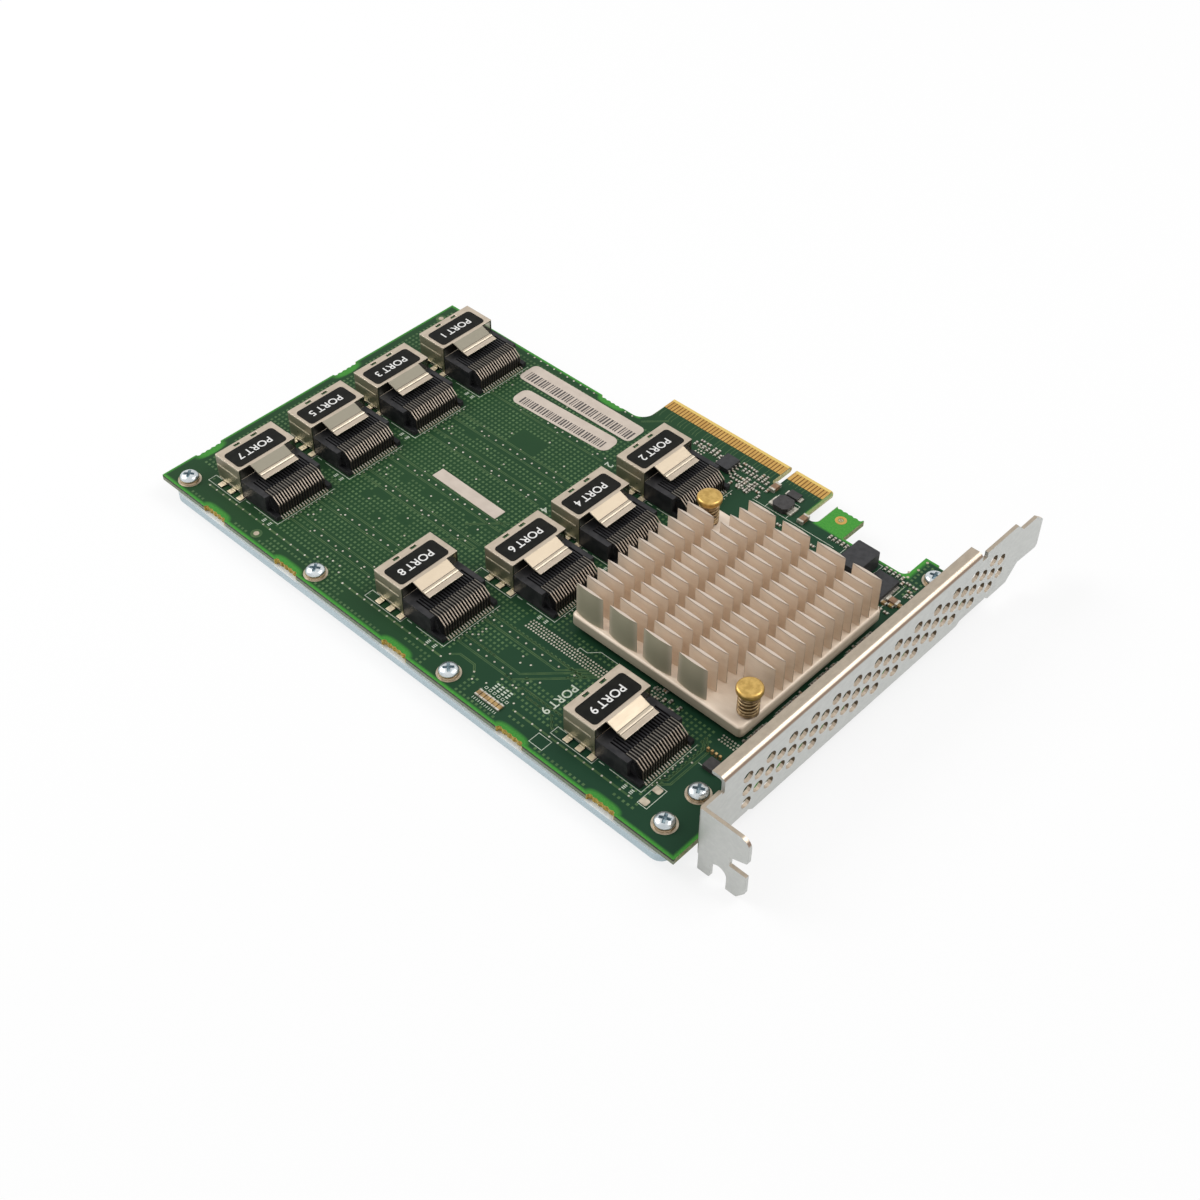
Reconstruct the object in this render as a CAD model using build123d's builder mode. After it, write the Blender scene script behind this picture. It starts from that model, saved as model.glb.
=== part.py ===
# Expander card: a full-height card with nine board connectors, a heatsink and a vented bracket.
# X runs along the card toward the bracket, Y toward the edge connector, Z up from the component face.
# Origin: centre of the key notch, at the tips of the gold fingers, on the component face. Unit: mm.
import os

from build123d import *

os.makedirs("parts", exist_ok=True)

# Sides of the small round shapes that repeat
round_sides = 12

# Board
board_thickness = 1.57
board_left = -110.3
board_right = 56.95
board_front = -108.83
board_back = -11.9
tongue_left = -39.6
tongue_right = 12.6
tongue_fillet = 3.5
tip_corner = 1.3
tip_bevel = 0.45
notch_width = 1.9
notch_depth = 7.1
slot_width = 3.3
tab_left = tongue_right + slot_width
tab_width = 8.1
tab_tip = -3.65
tab_hole = (19.86, -7.27)
tab_hole_radius = 0.6
shoulder_left = 42.2
shoulder_step = 46.0
shoulder_back = -3.75
shoulder_low = -4.4
bite_length = 7.6
bite_depth = 0.5
bite_hole_radius = 0.75
bite_holes = 5
bite_sides = 8
front_bites = [-90.0, -63.5, -26.0, 10.4, 36.9]
left_bites = [-94.9, -50.6]
back_bites = [-50.1]

# Screws that hold the board
head_radius = 2.4
head_height = 1.9
shank_radius = 1.4
thread_gap = 0.05
hole_gap = 0.2
bar_screws = [(-104.1, -105.2), (-56.8, -105.2), (-11.9, -105.2), (49.65, -103.3)]
bracket_screws = [(49.6, -92.87), (48.0, -8.7)]

# Stiffener bar
bar_left = -105.6
bar_right = 54.6
bar_front = -109.4
bar_width = 8.0
bar_height = 2.2
bar_corner = 3.0

# Bracket
sheet = 0.88
face_x = 58.94
bracket_inner_x = face_x - sheet
bracket_tip = 16.44
ear_y = -103.58
flange_top = 15.9
flange_reach = 3.44
flange_front = -96.6
flange_back = -8.9
bend_radius = 1.5
tab_bend_radius = 1.2
tab_margin = 2.0
tab_width_bracket = 9.2
vent_diameter = 3.0
vent_pitch = 7.13
vent_rows = 5
vent_columns = 13
vent_row_pitch = 2.05
vent_first_y = -89.1
vent_first_z = 1.95

# Heatsink
sink_left = -2.0
sink_right = 47.3
sink_front = -77.2
sink_back = -28.3
sink_under = 2.0
sink_base = 2.9
sink_corner = 1.2
sink_arris = 0.6
fin_top = 14.1
fin_length = 8.25
fin_thickness = 0.9
fin_first_x = 2.73
fin_first_y = -76.0
fin_pitch_x = 9.97
fin_pitch_y = 3.325
fin_columns = 5
fin_rows = 15
sink_screws = [(45.0, -72.2), (0.3, -33.3)]
sink_screw_head_radius = 3.05
sink_screw_head = 1.5
sink_screw_top = 12.8
sink_screw_shank = 1.2
spring_radius = 2.2
spring_wire = 0.5
spring_turns = 6
spring_steps = 8
chip_size = 35.0

# Board connectors: left end and front side of each shell
ports = [
    (-98.52, -34.05),
    (-28.41, -34.05),
    (-98.52, -56.48),
    (-28.41, -56.48),
    (-98.52, -78.03),
    (-28.41, -78.03),
    (-98.52, -100.34),
    (-41.0, -100.34),
    (18.32, -100.34),
]
shell_length = 9.05
shell_width = 17.12
shell_top = 8.33
shell_under = 1.2
shell_wall = 0.4
foot_positions = [1.85, 5.45, 8.95]
foot_width = 1.6
foot_length = 1.55
foot_thickness = 0.3
latch_offsets = [5.9, 11.1]
latch_x = 0.9
latch_width = 0.8
latch_length = 1.8
spring_tab_width = 10.3
spring_tab_reach = 5.5
spring_tab_drop = 1.4
housing_top = 5.3
housing_length = 9.1
housing_ledge = 1.95
groove_length = 4.5
groove_width = 0.5
groove_depth = 0.6
cheek_height = 1.3
cheek_width = 1.3
tail_gap = 0.3
contact_count = 18
contact_pitch = 0.8
contact_first = 1.9
contact_width = 0.36
contact_thickness = 0.28
knee_reach = 1.15
drop_reach = 2.85
foot_reach = 3.65


def box(x0, x1, y0, y1, z0, z1, mode=Mode.ADD):
    """Add (or cut) a box given by its limits."""
    with Locations(((x0 + x1) / 2, (y0 + y1) / 2, (z0 + z1) / 2)):
        Box(x1 - x0, y1 - y0, z1 - z0, mode=mode)


def polygon_hole(radius):
    """Cut a small round hole with flat sides, wide enough for a pin of that radius."""
    RegularPolygon(radius, round_sides, major_radius=False, mode=Mode.SUBTRACT)


def round_corner(sketch, points, radius):
    """Round the sketch corners nearest to the given points."""
    for point in points:
        fillet(sketch.vertices().sort_by_distance(point)[0:1], radius)


def save(part, name):
    """Label one piece and write it as a STEP file."""
    part.label = name
    export_step(part, f"parts/{name}.step")


# Circuit board
with BuildPart() as circuit_board:
    with BuildSketch(Plane.XY) as outline:
        with BuildLine():
            Polyline(
                (board_left, board_front),
                (board_right, board_front),
                (board_right, shoulder_low),
                (shoulder_step, shoulder_low),
                (shoulder_step, shoulder_back),
                (shoulder_left, shoulder_back),
                (shoulder_left, board_back),
                (tab_left + tab_width, board_back),
                (tab_left + tab_width, tab_tip),
                (tab_left, tab_tip),
                (tab_left, board_back),
                (tongue_right, board_back),
                (tongue_right, 0),
                (tongue_left, 0),
                (tongue_left, board_back),
                (board_left, board_back),
                close=True,
            )
        make_face()
        round_corner(outline, [(tongue_left, board_back)], tongue_fillet)
        round_corner(outline, [(shoulder_left, board_back)], tongue_fillet / 2)
        round_corner(outline, [(tongue_left, 0), (tongue_right, 0)], tip_corner)
        round_corner(outline, [(tab_left, board_back), (tongue_right, board_back)], slot_width / 2 - 0.1)
        with Locations((0, -notch_depth / 2)):
            Rectangle(notch_width, notch_depth, mode=Mode.SUBTRACT)
        with Locations((0, -notch_depth)):
            Circle(notch_width / 2, mode=Mode.SUBTRACT)
        bite_pitch = bite_length / bite_holes
        bite_steps = [bite_pitch * (index - (bite_holes - 1) / 2) for index in range(bite_holes)]
        bites = [(x, board_front, 0) for x in front_bites]
        bites += [(x, board_back, 0) for x in back_bites]
        bites += [(board_left, y, 90) for y in left_bites]
        bites += [(tab_left + tab_width / 2, tab_tip, 0)]
        for x, y, turn in bites:
            with Locations(Location((x, y, 0), (0, 0, turn))):
                Rectangle(bite_length - bite_pitch, 2 * bite_depth, mode=Mode.SUBTRACT)
                with Locations([(step, 0) for step in bite_steps]):
                    RegularPolygon(bite_hole_radius, bite_sides, mode=Mode.SUBTRACT)
        with Locations(bar_screws + bracket_screws):
            polygon_hole(shank_radius + hole_gap)
        with Locations(sink_screws):
            polygon_hole(sink_screw_shank + hole_gap)
        with Locations(tab_hole):
            polygon_hole(tab_hole_radius)
    extrude(amount=-board_thickness)
    tips = circuit_board.edges().filter_by(Axis.X).filter_by_position(Axis.Y, -0.01, 0.01)
    chamfer(tips, tip_bevel)
save(circuit_board.part, "circuit_board")

# Stiffener bar
with BuildPart() as stiffener_bar:
    with BuildSketch(Plane.XY.offset(-board_thickness)) as bar:
        with Locations(((bar_left + bar_right) / 2, bar_front + bar_width / 2)):
            Rectangle(bar_right - bar_left, bar_width)
        round_corner(bar, [(bar_left, bar_front), (bar_right, bar_front)], bar_corner)
        with Locations(bar_screws):
            polygon_hole(shank_radius + thread_gap)
    extrude(amount=-bar_height)
save(stiffener_bar.part, "stiffener_bar")

# Bracket
tab_positions = [bracket_screws[0][1], bracket_screws[1][1]]
tab_reach = min(x for x, y in bracket_screws) - tab_margin
ledge_z = -board_thickness - sheet + tab_bend_radius
with BuildPart() as bracket:
    # Flat face, drawn in Y and Z
    with BuildSketch(Plane.YZ.offset(face_x)) as face:
        with BuildLine():
            Polyline(
                (ear_y + tab_bend_radius, 12.7),
                (flange_front - 0.7, 12.7),
                (flange_front - 0.7, 12.0),
                (flange_front, 12.0),
                (flange_front, flange_top - bend_radius),
                (flange_back, flange_top - bend_radius),
                (flange_back, 13.6),
                (-7.0, 13.6),
                (-7.0, 15.1),
                (5.0, 15.1),
                (7.8, 12.2),
                (13.4, 12.2),
                (bracket_tip, 9.8),
                (bracket_tip, 1.0),
                (8.3, 1.5),
                (4.6, -2.5),
                (-2.6, -2.5),
                (-4.1, ledge_z),
                (-13.3, ledge_z),
                (-15.2, -2.5),
                (-86.5, -2.5),
                (-88.2, ledge_z),
                (ear_y + tab_bend_radius, ledge_z),
                close=True,
            )
        make_face()
        round_corner(face, [(bracket_tip, 9.8), (bracket_tip, 1.0)], 1.0)
        for row in range(vent_rows):
            shift = vent_pitch / 2 * (row % 2)
            height = vent_first_z + vent_row_pitch * row
            vents = [(vent_first_y + shift + vent_pitch * column, height) for column in range(vent_columns)]
            with Locations(vents):
                RegularPolygon(vent_diameter / 2, round_sides, mode=Mode.SUBTRACT)
    extrude(amount=-sheet)
    # Flange that folds inward along the top
    with BuildSketch(Plane.XZ.offset(-flange_front)):
        bend_x = face_x - bend_radius
        bend_z = flange_top - bend_radius
        inner_bend = bend_radius - sheet
        with BuildLine():
            CenterArc((bend_x, bend_z), bend_radius, 0, 90)
            Polyline(
                (bend_x, flange_top),
                (face_x - flange_reach, flange_top),
                (face_x - flange_reach, flange_top - sheet),
                (bend_x, flange_top - sheet),
            )
            CenterArc((bend_x, bend_z), inner_bend, 0, 90)
            Line((bend_x + inner_bend, bend_z), (face_x, bend_z))
        make_face()
    extrude(amount=flange_front - flange_back)
    # Bend between the face and the ear
    with BuildSketch(Plane.XY.offset(ledge_z)):
        corner_x = bracket_inner_x + tab_bend_radius
        corner_y = ear_y + tab_bend_radius
        inner_corner = tab_bend_radius - sheet
        with BuildLine():
            CenterArc((corner_x, corner_y), tab_bend_radius, 180, 90)
            Line((corner_x, ear_y), (corner_x, ear_y + sheet))
            CenterArc((corner_x, corner_y), inner_corner, 180, 90)
            Line((face_x, corner_y), (bracket_inner_x, corner_y))
        make_face()
    extrude(amount=12.7 - ledge_z)
    # Ear with its open slot and its screw notch
    with BuildSketch(Plane.XZ.offset(-ear_y)) as ear:
        with BuildLine():
            Polyline(
                (face_x, 13.4),
                (71.2, 13.4),
                (71.2, 6.6),
                (66.8, 4.9),
                (66.8, 2.2),
                (71.1, 2.2),
                (71.1, -3.1),
                (69.0, -5.9),
                (66.35, -5.9),
                (66.35, -2.5),
                (62.19, -2.5),
                (62.19, -5.9),
                (face_x, -5.9),
                close=True,
            )
        make_face()
        round_corner(ear, [(71.2, 13.4)], 2.4)
        round_corner(ear, [(71.2, 6.6), (71.1, -3.1)], 1.0)
        round_corner(ear, [(69.0, -5.9), (62.19, -5.9)], 0.6)
        with Locations(((66.35 + 62.19) / 2, -2.5)):
            Circle((66.35 - 62.19) / 2, mode=Mode.SUBTRACT)
    extrude(amount=-sheet)
    # Two tabs that fold under the board
    for tab_y in tab_positions:
        with BuildSketch(Plane.XZ.offset(-tab_y + tab_width_bracket / 2)):
            fold_x = face_x - tab_bend_radius
            inner_fold = tab_bend_radius - sheet
            with BuildLine():
                CenterArc((fold_x, ledge_z), tab_bend_radius, 270, 90)
                Polyline(
                    (fold_x, ledge_z - tab_bend_radius),
                    (tab_reach, ledge_z - tab_bend_radius),
                    (tab_reach, ledge_z - inner_fold),
                    (fold_x, ledge_z - inner_fold),
                )
                CenterArc((fold_x, ledge_z), inner_fold, 270, 90)
                Line((fold_x + inner_fold, ledge_z), (face_x, ledge_z))
            make_face()
        extrude(amount=-tab_width_bracket)
    with BuildSketch(Plane.XY.offset(-board_thickness)):
        with Locations(bracket_screws):
            RegularPolygon(shank_radius + thread_gap, round_sides, major_radius=False)
    extrude(amount=-sheet, mode=Mode.SUBTRACT)
save(bracket.part, "bracket")

# Screws that hold the board
with BuildPart() as board_screws:
    with BuildSketch(Plane.XY):
        with Locations(bar_screws + bracket_screws):
            RegularPolygon(head_radius, round_sides)
    extrude(amount=head_height)
    chamfer(board_screws.faces().sort_by(Axis.Z)[-6:].edges(), head_height * 0.38)
    with BuildSketch(Plane.XY):
        with Locations(bar_screws + bracket_screws):
            RegularPolygon(shank_radius, round_sides)
    extrude(amount=-board_thickness - bar_height)
save(board_screws.part, "board_screws")

# Package under the heatsink
sink_x = (sink_left + sink_right) / 2
sink_y = (sink_front + sink_back) / 2
with BuildPart() as expander_chip:
    with Locations((sink_x, sink_y, sink_under / 2)):
        Box(chip_size, chip_size, sink_under)
    chamfer(expander_chip.edges().filter_by(Axis.Z), 0.8)
save(expander_chip.part, "expander_chip")

# Heatsink with plate pins
base_top = sink_under + sink_base
with BuildPart() as heatsink:
    with Locations((sink_x, sink_y, sink_under + sink_base / 2)):
        Box(sink_right - sink_left, sink_back - sink_front, sink_base)
    chamfer(heatsink.edges().filter_by(Axis.Z), sink_corner)
    chamfer(heatsink.faces().sort_by(Axis.Z)[-1].edges(), sink_arris)
    with BuildSketch(Plane.XY.offset(base_top - 0.1)):
        for column in range(fin_columns):
            first_row = 3 if column == fin_columns - 1 else 0
            last_row = fin_rows - 3 if column == 0 else fin_rows
            fin_x = fin_first_x + fin_pitch_x * column
            with Locations([(fin_x, fin_first_y + fin_pitch_y * row) for row in range(first_row, last_row)]):
                Polygon(
                    (-fin_length / 2, 0),
                    (-fin_length / 4, -fin_thickness / 2),
                    (fin_length / 4, -fin_thickness / 2),
                    (fin_length / 2, 0),
                    (fin_length / 4, fin_thickness / 2),
                    (-fin_length / 4, fin_thickness / 2),
                    align=None,
                )
    extrude(amount=fin_top - base_top + 0.1)
    with BuildSketch(Plane.XY.offset(base_top)):
        with Locations(sink_screws):
            RegularPolygon(sink_screw_shank + hole_gap, round_sides, major_radius=False)
    extrude(amount=-sink_base, mode=Mode.SUBTRACT)
save(heatsink.part, "heatsink")

# Shoulder screws of the heatsink
head_under = sink_screw_top - sink_screw_head
with BuildPart() as heatsink_screws:
    with BuildSketch(Plane.XY.offset(head_under)):
        with Locations(sink_screws):
            RegularPolygon(sink_screw_head_radius, 2 * round_sides)
    extrude(amount=sink_screw_head)
    chamfer(heatsink_screws.faces().sort_by(Axis.Z)[-2:].edges(), 0.4)
    with BuildSketch(Plane.XY.offset(head_under)):
        with Locations(sink_screws):
            RegularPolygon(sink_screw_shank, round_sides)
    extrude(amount=-head_under - board_thickness - 0.8)
save(heatsink_screws.part, "heatsink_screws")

# Coil springs under the heads
spring_space = head_under - base_top
with BuildPart() as heatsink_springs:
    for x, y in sink_screws:
        points = []
        for step in range(spring_turns * spring_steps + 1):
            angle = 360 * step / spring_steps
            height = (spring_space - spring_wire) * step / (spring_turns * spring_steps)
            spoke = Vector(spring_radius, 0).rotate(Axis.Z, angle)
            points.append(Vector(x, y, base_top + spring_wire / 2 + height) + spoke)
        with BuildLine() as coil:
            Polyline(*points)
        with BuildSketch(Plane(points[0], z_dir=points[1] - points[0])):
            Rectangle(spring_wire * 0.8, spring_wire * 0.8)
        sweep(path=coil.line, transition=Transition.RIGHT)
save(heatsink_springs.part, "heatsink_springs")

# Board connectors
contact_positions = [contact_first + contact_pitch * index for index in range(contact_count)]
ledge_start = shell_length + housing_length - housing_ledge
contact_knee = shell_length + housing_length + knee_reach
contact_drop = shell_length + housing_length + drop_reach
contact_end = shell_length + housing_length + foot_reach
ledge_top = housing_top - contact_thickness
tab_middle = shell_width / 2
for number, (x0, y0) in enumerate(ports, start=1):
    # Shell bent from sheet metal
    with BuildPart() as shell:
        with BuildSketch(Plane.YZ.offset(x0)):
            with Locations((y0 + shell_width / 2, (shell_under + shell_top) / 2)):
                height = shell_top - shell_under
                Rectangle(shell_width, height)
                Rectangle(shell_width - 2 * shell_wall, height - 2 * shell_wall, mode=Mode.SUBTRACT)
        extrude(amount=shell_length)
        for offset in latch_offsets:
            box(
                x0 + latch_x - latch_width / 2,
                x0 + latch_x + latch_width / 2,
                y0 + offset - latch_length / 2,
                y0 + offset + latch_length / 2,
                shell_top - 1,
                shell_top + 1,
                mode=Mode.SUBTRACT,
            )
        for foot in foot_positions:
            left = x0 + foot - foot_width / 2
            right = x0 + foot + foot_width / 2
            for side, outward in [(y0, -1), (y0 + shell_width, 1)]:
                inner = side - outward * shell_wall
                outer = side + outward * foot_length
                box(left, min(right, x0 + shell_length), min(side, inner), max(side, inner), 0, 2 * shell_under)
                box(left, right, min(side, outer), max(side, outer), 0, foot_thickness)
        with BuildSketch(Plane.XZ.offset(-y0 - tab_middle - spring_tab_width / 2)):
            tab_x = x0 + shell_length
            bend_low = shell_top - spring_tab_drop
            with BuildLine():
                Polyline(
                    (tab_x - 0.6, shell_top - shell_wall),
                    (tab_x - 0.6, shell_top),
                    (tab_x + 0.3, shell_top),
                    (tab_x + 3.3, bend_low + 0.25),
                    (tab_x + 3.7, bend_low + 0.4),
                    (tab_x + 4.2, bend_low + 0.15),
                    (tab_x + spring_tab_reach, bend_low),
                    (tab_x + spring_tab_reach, bend_low - 0.3),
                    (tab_x + 4.2, bend_low - 0.15),
                    (tab_x + 3.3, bend_low - 0.05),
                    (tab_x + 0.2, shell_top - shell_wall),
                    close=True,
                )
            make_face()
        extrude(amount=spring_tab_width)
    save(shell.part, f"port_{number}_shell")

    # Plastic housing behind the shell
    back_x = x0 + shell_length
    end_x = back_x + housing_length
    first_y = y0 + contact_positions[0] - contact_pitch / 2
    last_y = y0 + contact_positions[-1] + contact_pitch / 2
    with BuildPart() as housing:
        box(back_x, end_x, y0 + 0.1, y0 + shell_width - 0.1, 0, housing_top)
        box(x0 + ledge_start, end_x + 1, first_y, last_y, ledge_top, housing_top + 1, mode=Mode.SUBTRACT)
        with BuildSketch(Plane.YZ.offset(x0 + ledge_start)):
            with Locations([(y0 + position, housing_top) for position in contact_positions]):
                Polygon(
                    (-groove_width / 2, 0.1),
                    (-groove_width / 2, 0),
                    (0, -groove_depth),
                    (groove_width / 2, 0),
                    (groove_width / 2, 0.1),
                    align=None,
                )
        extrude(amount=-groove_length, mode=Mode.SUBTRACT)
        for side_y in [y0 + 0.1, y0 + shell_width - 0.1 - cheek_width]:
            box(end_x - 0.1, x0 + contact_end, side_y, side_y + cheek_width, 0, cheek_height)
        # Wall between the cheeks, behind the sloping contacts
        wall_top = ledge_top - 0.5
        wall_x = x0 + contact_knee - contact_thickness - tail_gap
        with BuildSketch(Plane.XZ.offset(-y0 - 0.1 - cheek_width + 0.1)):
            with BuildLine():
                Polyline(
                    (end_x - 0.1, 0),
                    (x0 + contact_drop - 2 * tail_gap, 0),
                    (x0 + contact_drop - 2 * tail_gap, 0.5),
                    (wall_x, wall_top),
                    (end_x - 0.1, wall_top),
                    close=True,
                )
            make_face()
        extrude(amount=-(shell_width - 2 * cheek_width))
    save(housing.part, f"port_{number}_housing")

    # Row of contacts
    with BuildPart() as contacts:
        for position in contact_positions:
            low = ledge_top
            high = housing_top
            knee = x0 + contact_knee
            drop = x0 + contact_drop
            step = contact_thickness
            with BuildSketch(Plane.XZ.offset(-y0 - position - contact_width / 2)):
                with BuildLine():
                    Polyline(
                        (x0 + ledge_start, low),
                        (x0 + ledge_start, high),
                        (knee, high),
                        (x0 + contact_end, 0),
                        (drop, 0),
                        (knee - step, low),
                        close=True,
                    )
                make_face()
            extrude(amount=contact_width)
    save(contacts.part, f"port_{number}_contacts")

# Eight-lead package near the edge connector
flash_x = -12.6
flash_y = -10.9
with BuildPart() as flash_chip:
    box(flash_x - 1.95, flash_x + 1.95, flash_y - 2.45, flash_y + 2.45, 0.1, 1.5)
    for index in range(4):
        lead_y = flash_y + 1.27 * (index - 1.5)
        box(flash_x - 3.0, flash_x + 3.0, lead_y - 0.2, lead_y + 0.2, 0, 0.25)
        box(flash_x - 2.3, flash_x + 2.3, lead_y - 0.2, lead_y + 0.2, 0.25, 0.85)
save(flash_chip.part, "flash_chip")

# Tall moulded part
with BuildPart() as tall_component:
    box(29.5, 35.8, -22.5, -13.6, 0, 4.4)
    chamfer(tall_component.edges().filter_by(Axis.Z), 0.3)
save(tall_component.part, "tall_component")

# Package with leads on two sides
with BuildPart() as controller_chip:
    box(37.2, 43.0, -23.6, -15.4, 0.1, 1.3)
    for index in range(9):
        lead_y = -22.5 + 0.8 * index
        box(36.5, 43.7, lead_y - 0.13, lead_y + 0.13, 0, 0.25)
save(controller_chip.part, "controller_chip")

# Square inductor
with BuildPart() as power_inductor:
    box(4.6, 9.2, -15.3, -10.8, 0, 1.6)
    chamfer(power_inductor.edges().filter_by(Axis.Z), 0.9)
save(power_inductor.part, "power_inductor")

# Regulator between the inductor and the edge connector
with BuildPart() as regulator_chip:
    box(5.0, 8.2, -9.6, -7.4, 0, 0.9)
save(regulator_chip.part, "regulator_chip")

# Small part under the flange
with BuildPart() as corner_connector:
    box(45.6, 48.8, -87.2, -84.2, 0, 1.2)
save(corner_connector.part, "corner_connector")

# Resistor arrays near the lower edge
with BuildPart() as resistor_arrays:
    for index in range(6):
        array_x = -2.8 + 1.25 * index
        box(array_x - 0.5, array_x + 0.5, -105.6, -103.9, 0, 0.4)
save(resistor_arrays.part, "resistor_arrays")

# Larger chip capacitors
with BuildPart() as chip_capacitors:
    for x, y, turn in [(13.4, -13.6, 1), (45.4, -21.0, 0), (1.3, -9.4, 1)]:
        half_x = 0.8 if turn else 1.4
        half_y = 1.4 if turn else 0.8
        box(x - half_x, x + half_x, y - half_y, y + half_y, 0, 1.0)
save(chip_capacitors.part, "chip_capacitors")

# Small two-terminal chips around the edge connector
chip_long = 1.0
chip_wide = 0.5
chip_high = 0.4
chip_gap = 0.6
with BuildPart() as small_chips:
    for index in range(7):
        box(-24.0 + 1.3 * index, -23.5 + 1.3 * index, -10.3, -9.3, 0, 0.4)
        box(-8.6 + 1.2 * index, -8.1 + 1.2 * index, -9.9, -8.9, 0, 0.4)
    row_x = ports[1][0] + contact_end + chip_gap
    for index in range(5):
        row_y = board_back + 0.3 - chip_long * index
        box(row_x, row_x + chip_long, row_y, row_y + chip_wide, 0, chip_high)
        box(row_x + 2.4, row_x + 2.4 + chip_long, row_y, row_y + chip_wide, 0, chip_high)
        box(21.5 + 1.2 * index, 22.0 + 1.2 * index, -14.2, -13.2, 0, 0.4)
        box(37.4 + 1.2 * index, 37.9 + 1.2 * index, -13.8, -12.8, 0, 0.4)
save(small_chips.part, "small_chips")
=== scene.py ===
"""Looks of an expander card: board, sockets, heatsink, bracket and their finishes."""

import math

import bmesh
import bpy
from mathutils import Matrix, Vector


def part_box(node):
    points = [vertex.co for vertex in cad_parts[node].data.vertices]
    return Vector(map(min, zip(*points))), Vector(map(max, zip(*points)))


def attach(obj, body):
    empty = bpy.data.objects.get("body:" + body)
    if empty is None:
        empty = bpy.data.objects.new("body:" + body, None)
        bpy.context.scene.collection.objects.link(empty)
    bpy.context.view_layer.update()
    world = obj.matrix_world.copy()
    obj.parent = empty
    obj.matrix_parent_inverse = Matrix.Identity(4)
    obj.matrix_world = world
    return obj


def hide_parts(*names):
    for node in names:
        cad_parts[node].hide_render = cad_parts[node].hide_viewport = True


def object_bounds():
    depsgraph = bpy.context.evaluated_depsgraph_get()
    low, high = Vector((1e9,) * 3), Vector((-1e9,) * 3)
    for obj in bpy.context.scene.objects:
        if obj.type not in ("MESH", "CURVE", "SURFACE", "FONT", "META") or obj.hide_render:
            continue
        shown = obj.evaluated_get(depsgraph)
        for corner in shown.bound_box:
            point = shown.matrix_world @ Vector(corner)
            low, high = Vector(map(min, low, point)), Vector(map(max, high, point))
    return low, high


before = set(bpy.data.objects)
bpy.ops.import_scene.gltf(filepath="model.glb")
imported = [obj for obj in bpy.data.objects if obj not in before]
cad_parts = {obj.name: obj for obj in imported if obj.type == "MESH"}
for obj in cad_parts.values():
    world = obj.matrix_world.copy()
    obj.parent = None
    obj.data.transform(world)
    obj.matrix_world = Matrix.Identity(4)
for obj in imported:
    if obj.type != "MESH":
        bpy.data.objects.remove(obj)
cad_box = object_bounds()

bl_info = {
    "name": "Expander card finishes",
    "version": (1, 0, 0),
    "blender": (4, 5, 0),
    "location": "View3D > Sidebar > Card",
    "description": "Adds the finishes and fine detail of an expander card around its packed model",
    "category": "Object",
}

MM = 0.001

# Left end and near side of each socket shell, in millimetres
PORTS = [
    (-98.52, -34.05),
    (-28.41, -34.05),
    (-98.52, -56.48),
    (-28.41, -56.48),
    (-98.52, -78.03),
    (-28.41, -78.03),
    (-98.52, -100.34),
    (-41.0, -100.34),
    (18.32, -100.34),
]
SHELL_LENGTH = 9.05
SHELL_WIDTH = 17.12
SHELL_TOP = 8.33
CONTACT_FIRST = 1.9
CONTACT_PITCH = 0.8
CONTACT_COUNT = 18
CONTACT_END = 21.8

# Breakaway scallops along the board's edges: middle and half size of the bare mask round them
BITES = [
    (-90.0, -108.8, 5.6, 2.6),
    (-63.5, -108.8, 5.6, 2.6),
    (-26.0, -108.8, 5.6, 2.6),
    (10.4, -108.8, 5.6, 2.6),
    (36.9, -108.8, 5.6, 2.6),
    (-110.0, -94.9, 2.6, 5.2),
    (-110.0, -50.6, 2.6, 5.2),
    (-50.1, -12.2, 5.0, 2.4),
]

# Screws that hold the board, and the turn of each cross recess in degrees
BOARD_SCREWS = [
    (-104.1, -105.2, 40),
    (-56.8, -105.2, 35),
    (-11.9, -105.2, 48),
    (49.65, -103.3, 25),
    (49.6, -92.87, 30),
    (48.0, -8.7, 12),
]
SINK_SCREWS = [(45.0, -72.2), (0.3, -33.3)]

# Level rows of buried signal pairs: height on the board, start and end
TRACE_ROWS = [
    (-31.0, -75.5, -36.0),
    (-42.0, -75.5, -36.0),
    (-44.6, -75.5, -36.0),
    (-50.8, -75.5, -36.0),
    (-53.4, -75.5, -36.0),
    (-64.0, -75.5, -36.0),
    (-66.2, -75.5, -36.0),
    (-72.7, -75.5, -36.0),
    (-75.0, -75.5, -36.0),
    (-86.0, -75.5, -47.0),
    (-88.5, -75.5, -47.0),
    (-94.8, -75.5, -47.0),
    (-97.2, -75.5, -47.0),
]

# Bent signal pairs
TRACE_PATHS = [
    [(-18.2, -86.1), (9.5, -86.1), (12.6, -83.0)],
    [(-18.2, -88.5), (4.6, -88.5), (9.9, -83.2)],
    [(-17.4, -94.8), (-0.4, -94.8), (11.2, -83.2)],
    [(-18.0, -96.0), (-16.8, -97.2), (-0.6, -97.2), (13.4, -83.2)],
    [(2.0, -98.4), (3.3, -97.1), (14.6, -97.1)],
    [(15.6, -101.2), (13.0, -98.6), (5.2, -98.6)],
    [(-15.8, -101.3), (-14.2, -99.7), (-9.6, -99.7), (-8.0, -101.3)],
    [(40.8, -81.4), (42.6, -83.2), (42.6, -94.6), (40.8, -96.4)],
    [(40.8, -80.2), (43.8, -83.2), (43.8, -95.0), (41.2, -97.6)],
    [(-76.2, -81.4), (-79.4, -81.4)],
    [(-44.0, -70.0), (-39.0, -65.0), (-36.5, -62.4)],
    [(-45.0, -78.4), (-40.5, -73.9), (-36.0, -73.9)],
    [(-39.5, -13.0), (-34.5, -8.0)],
]

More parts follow.
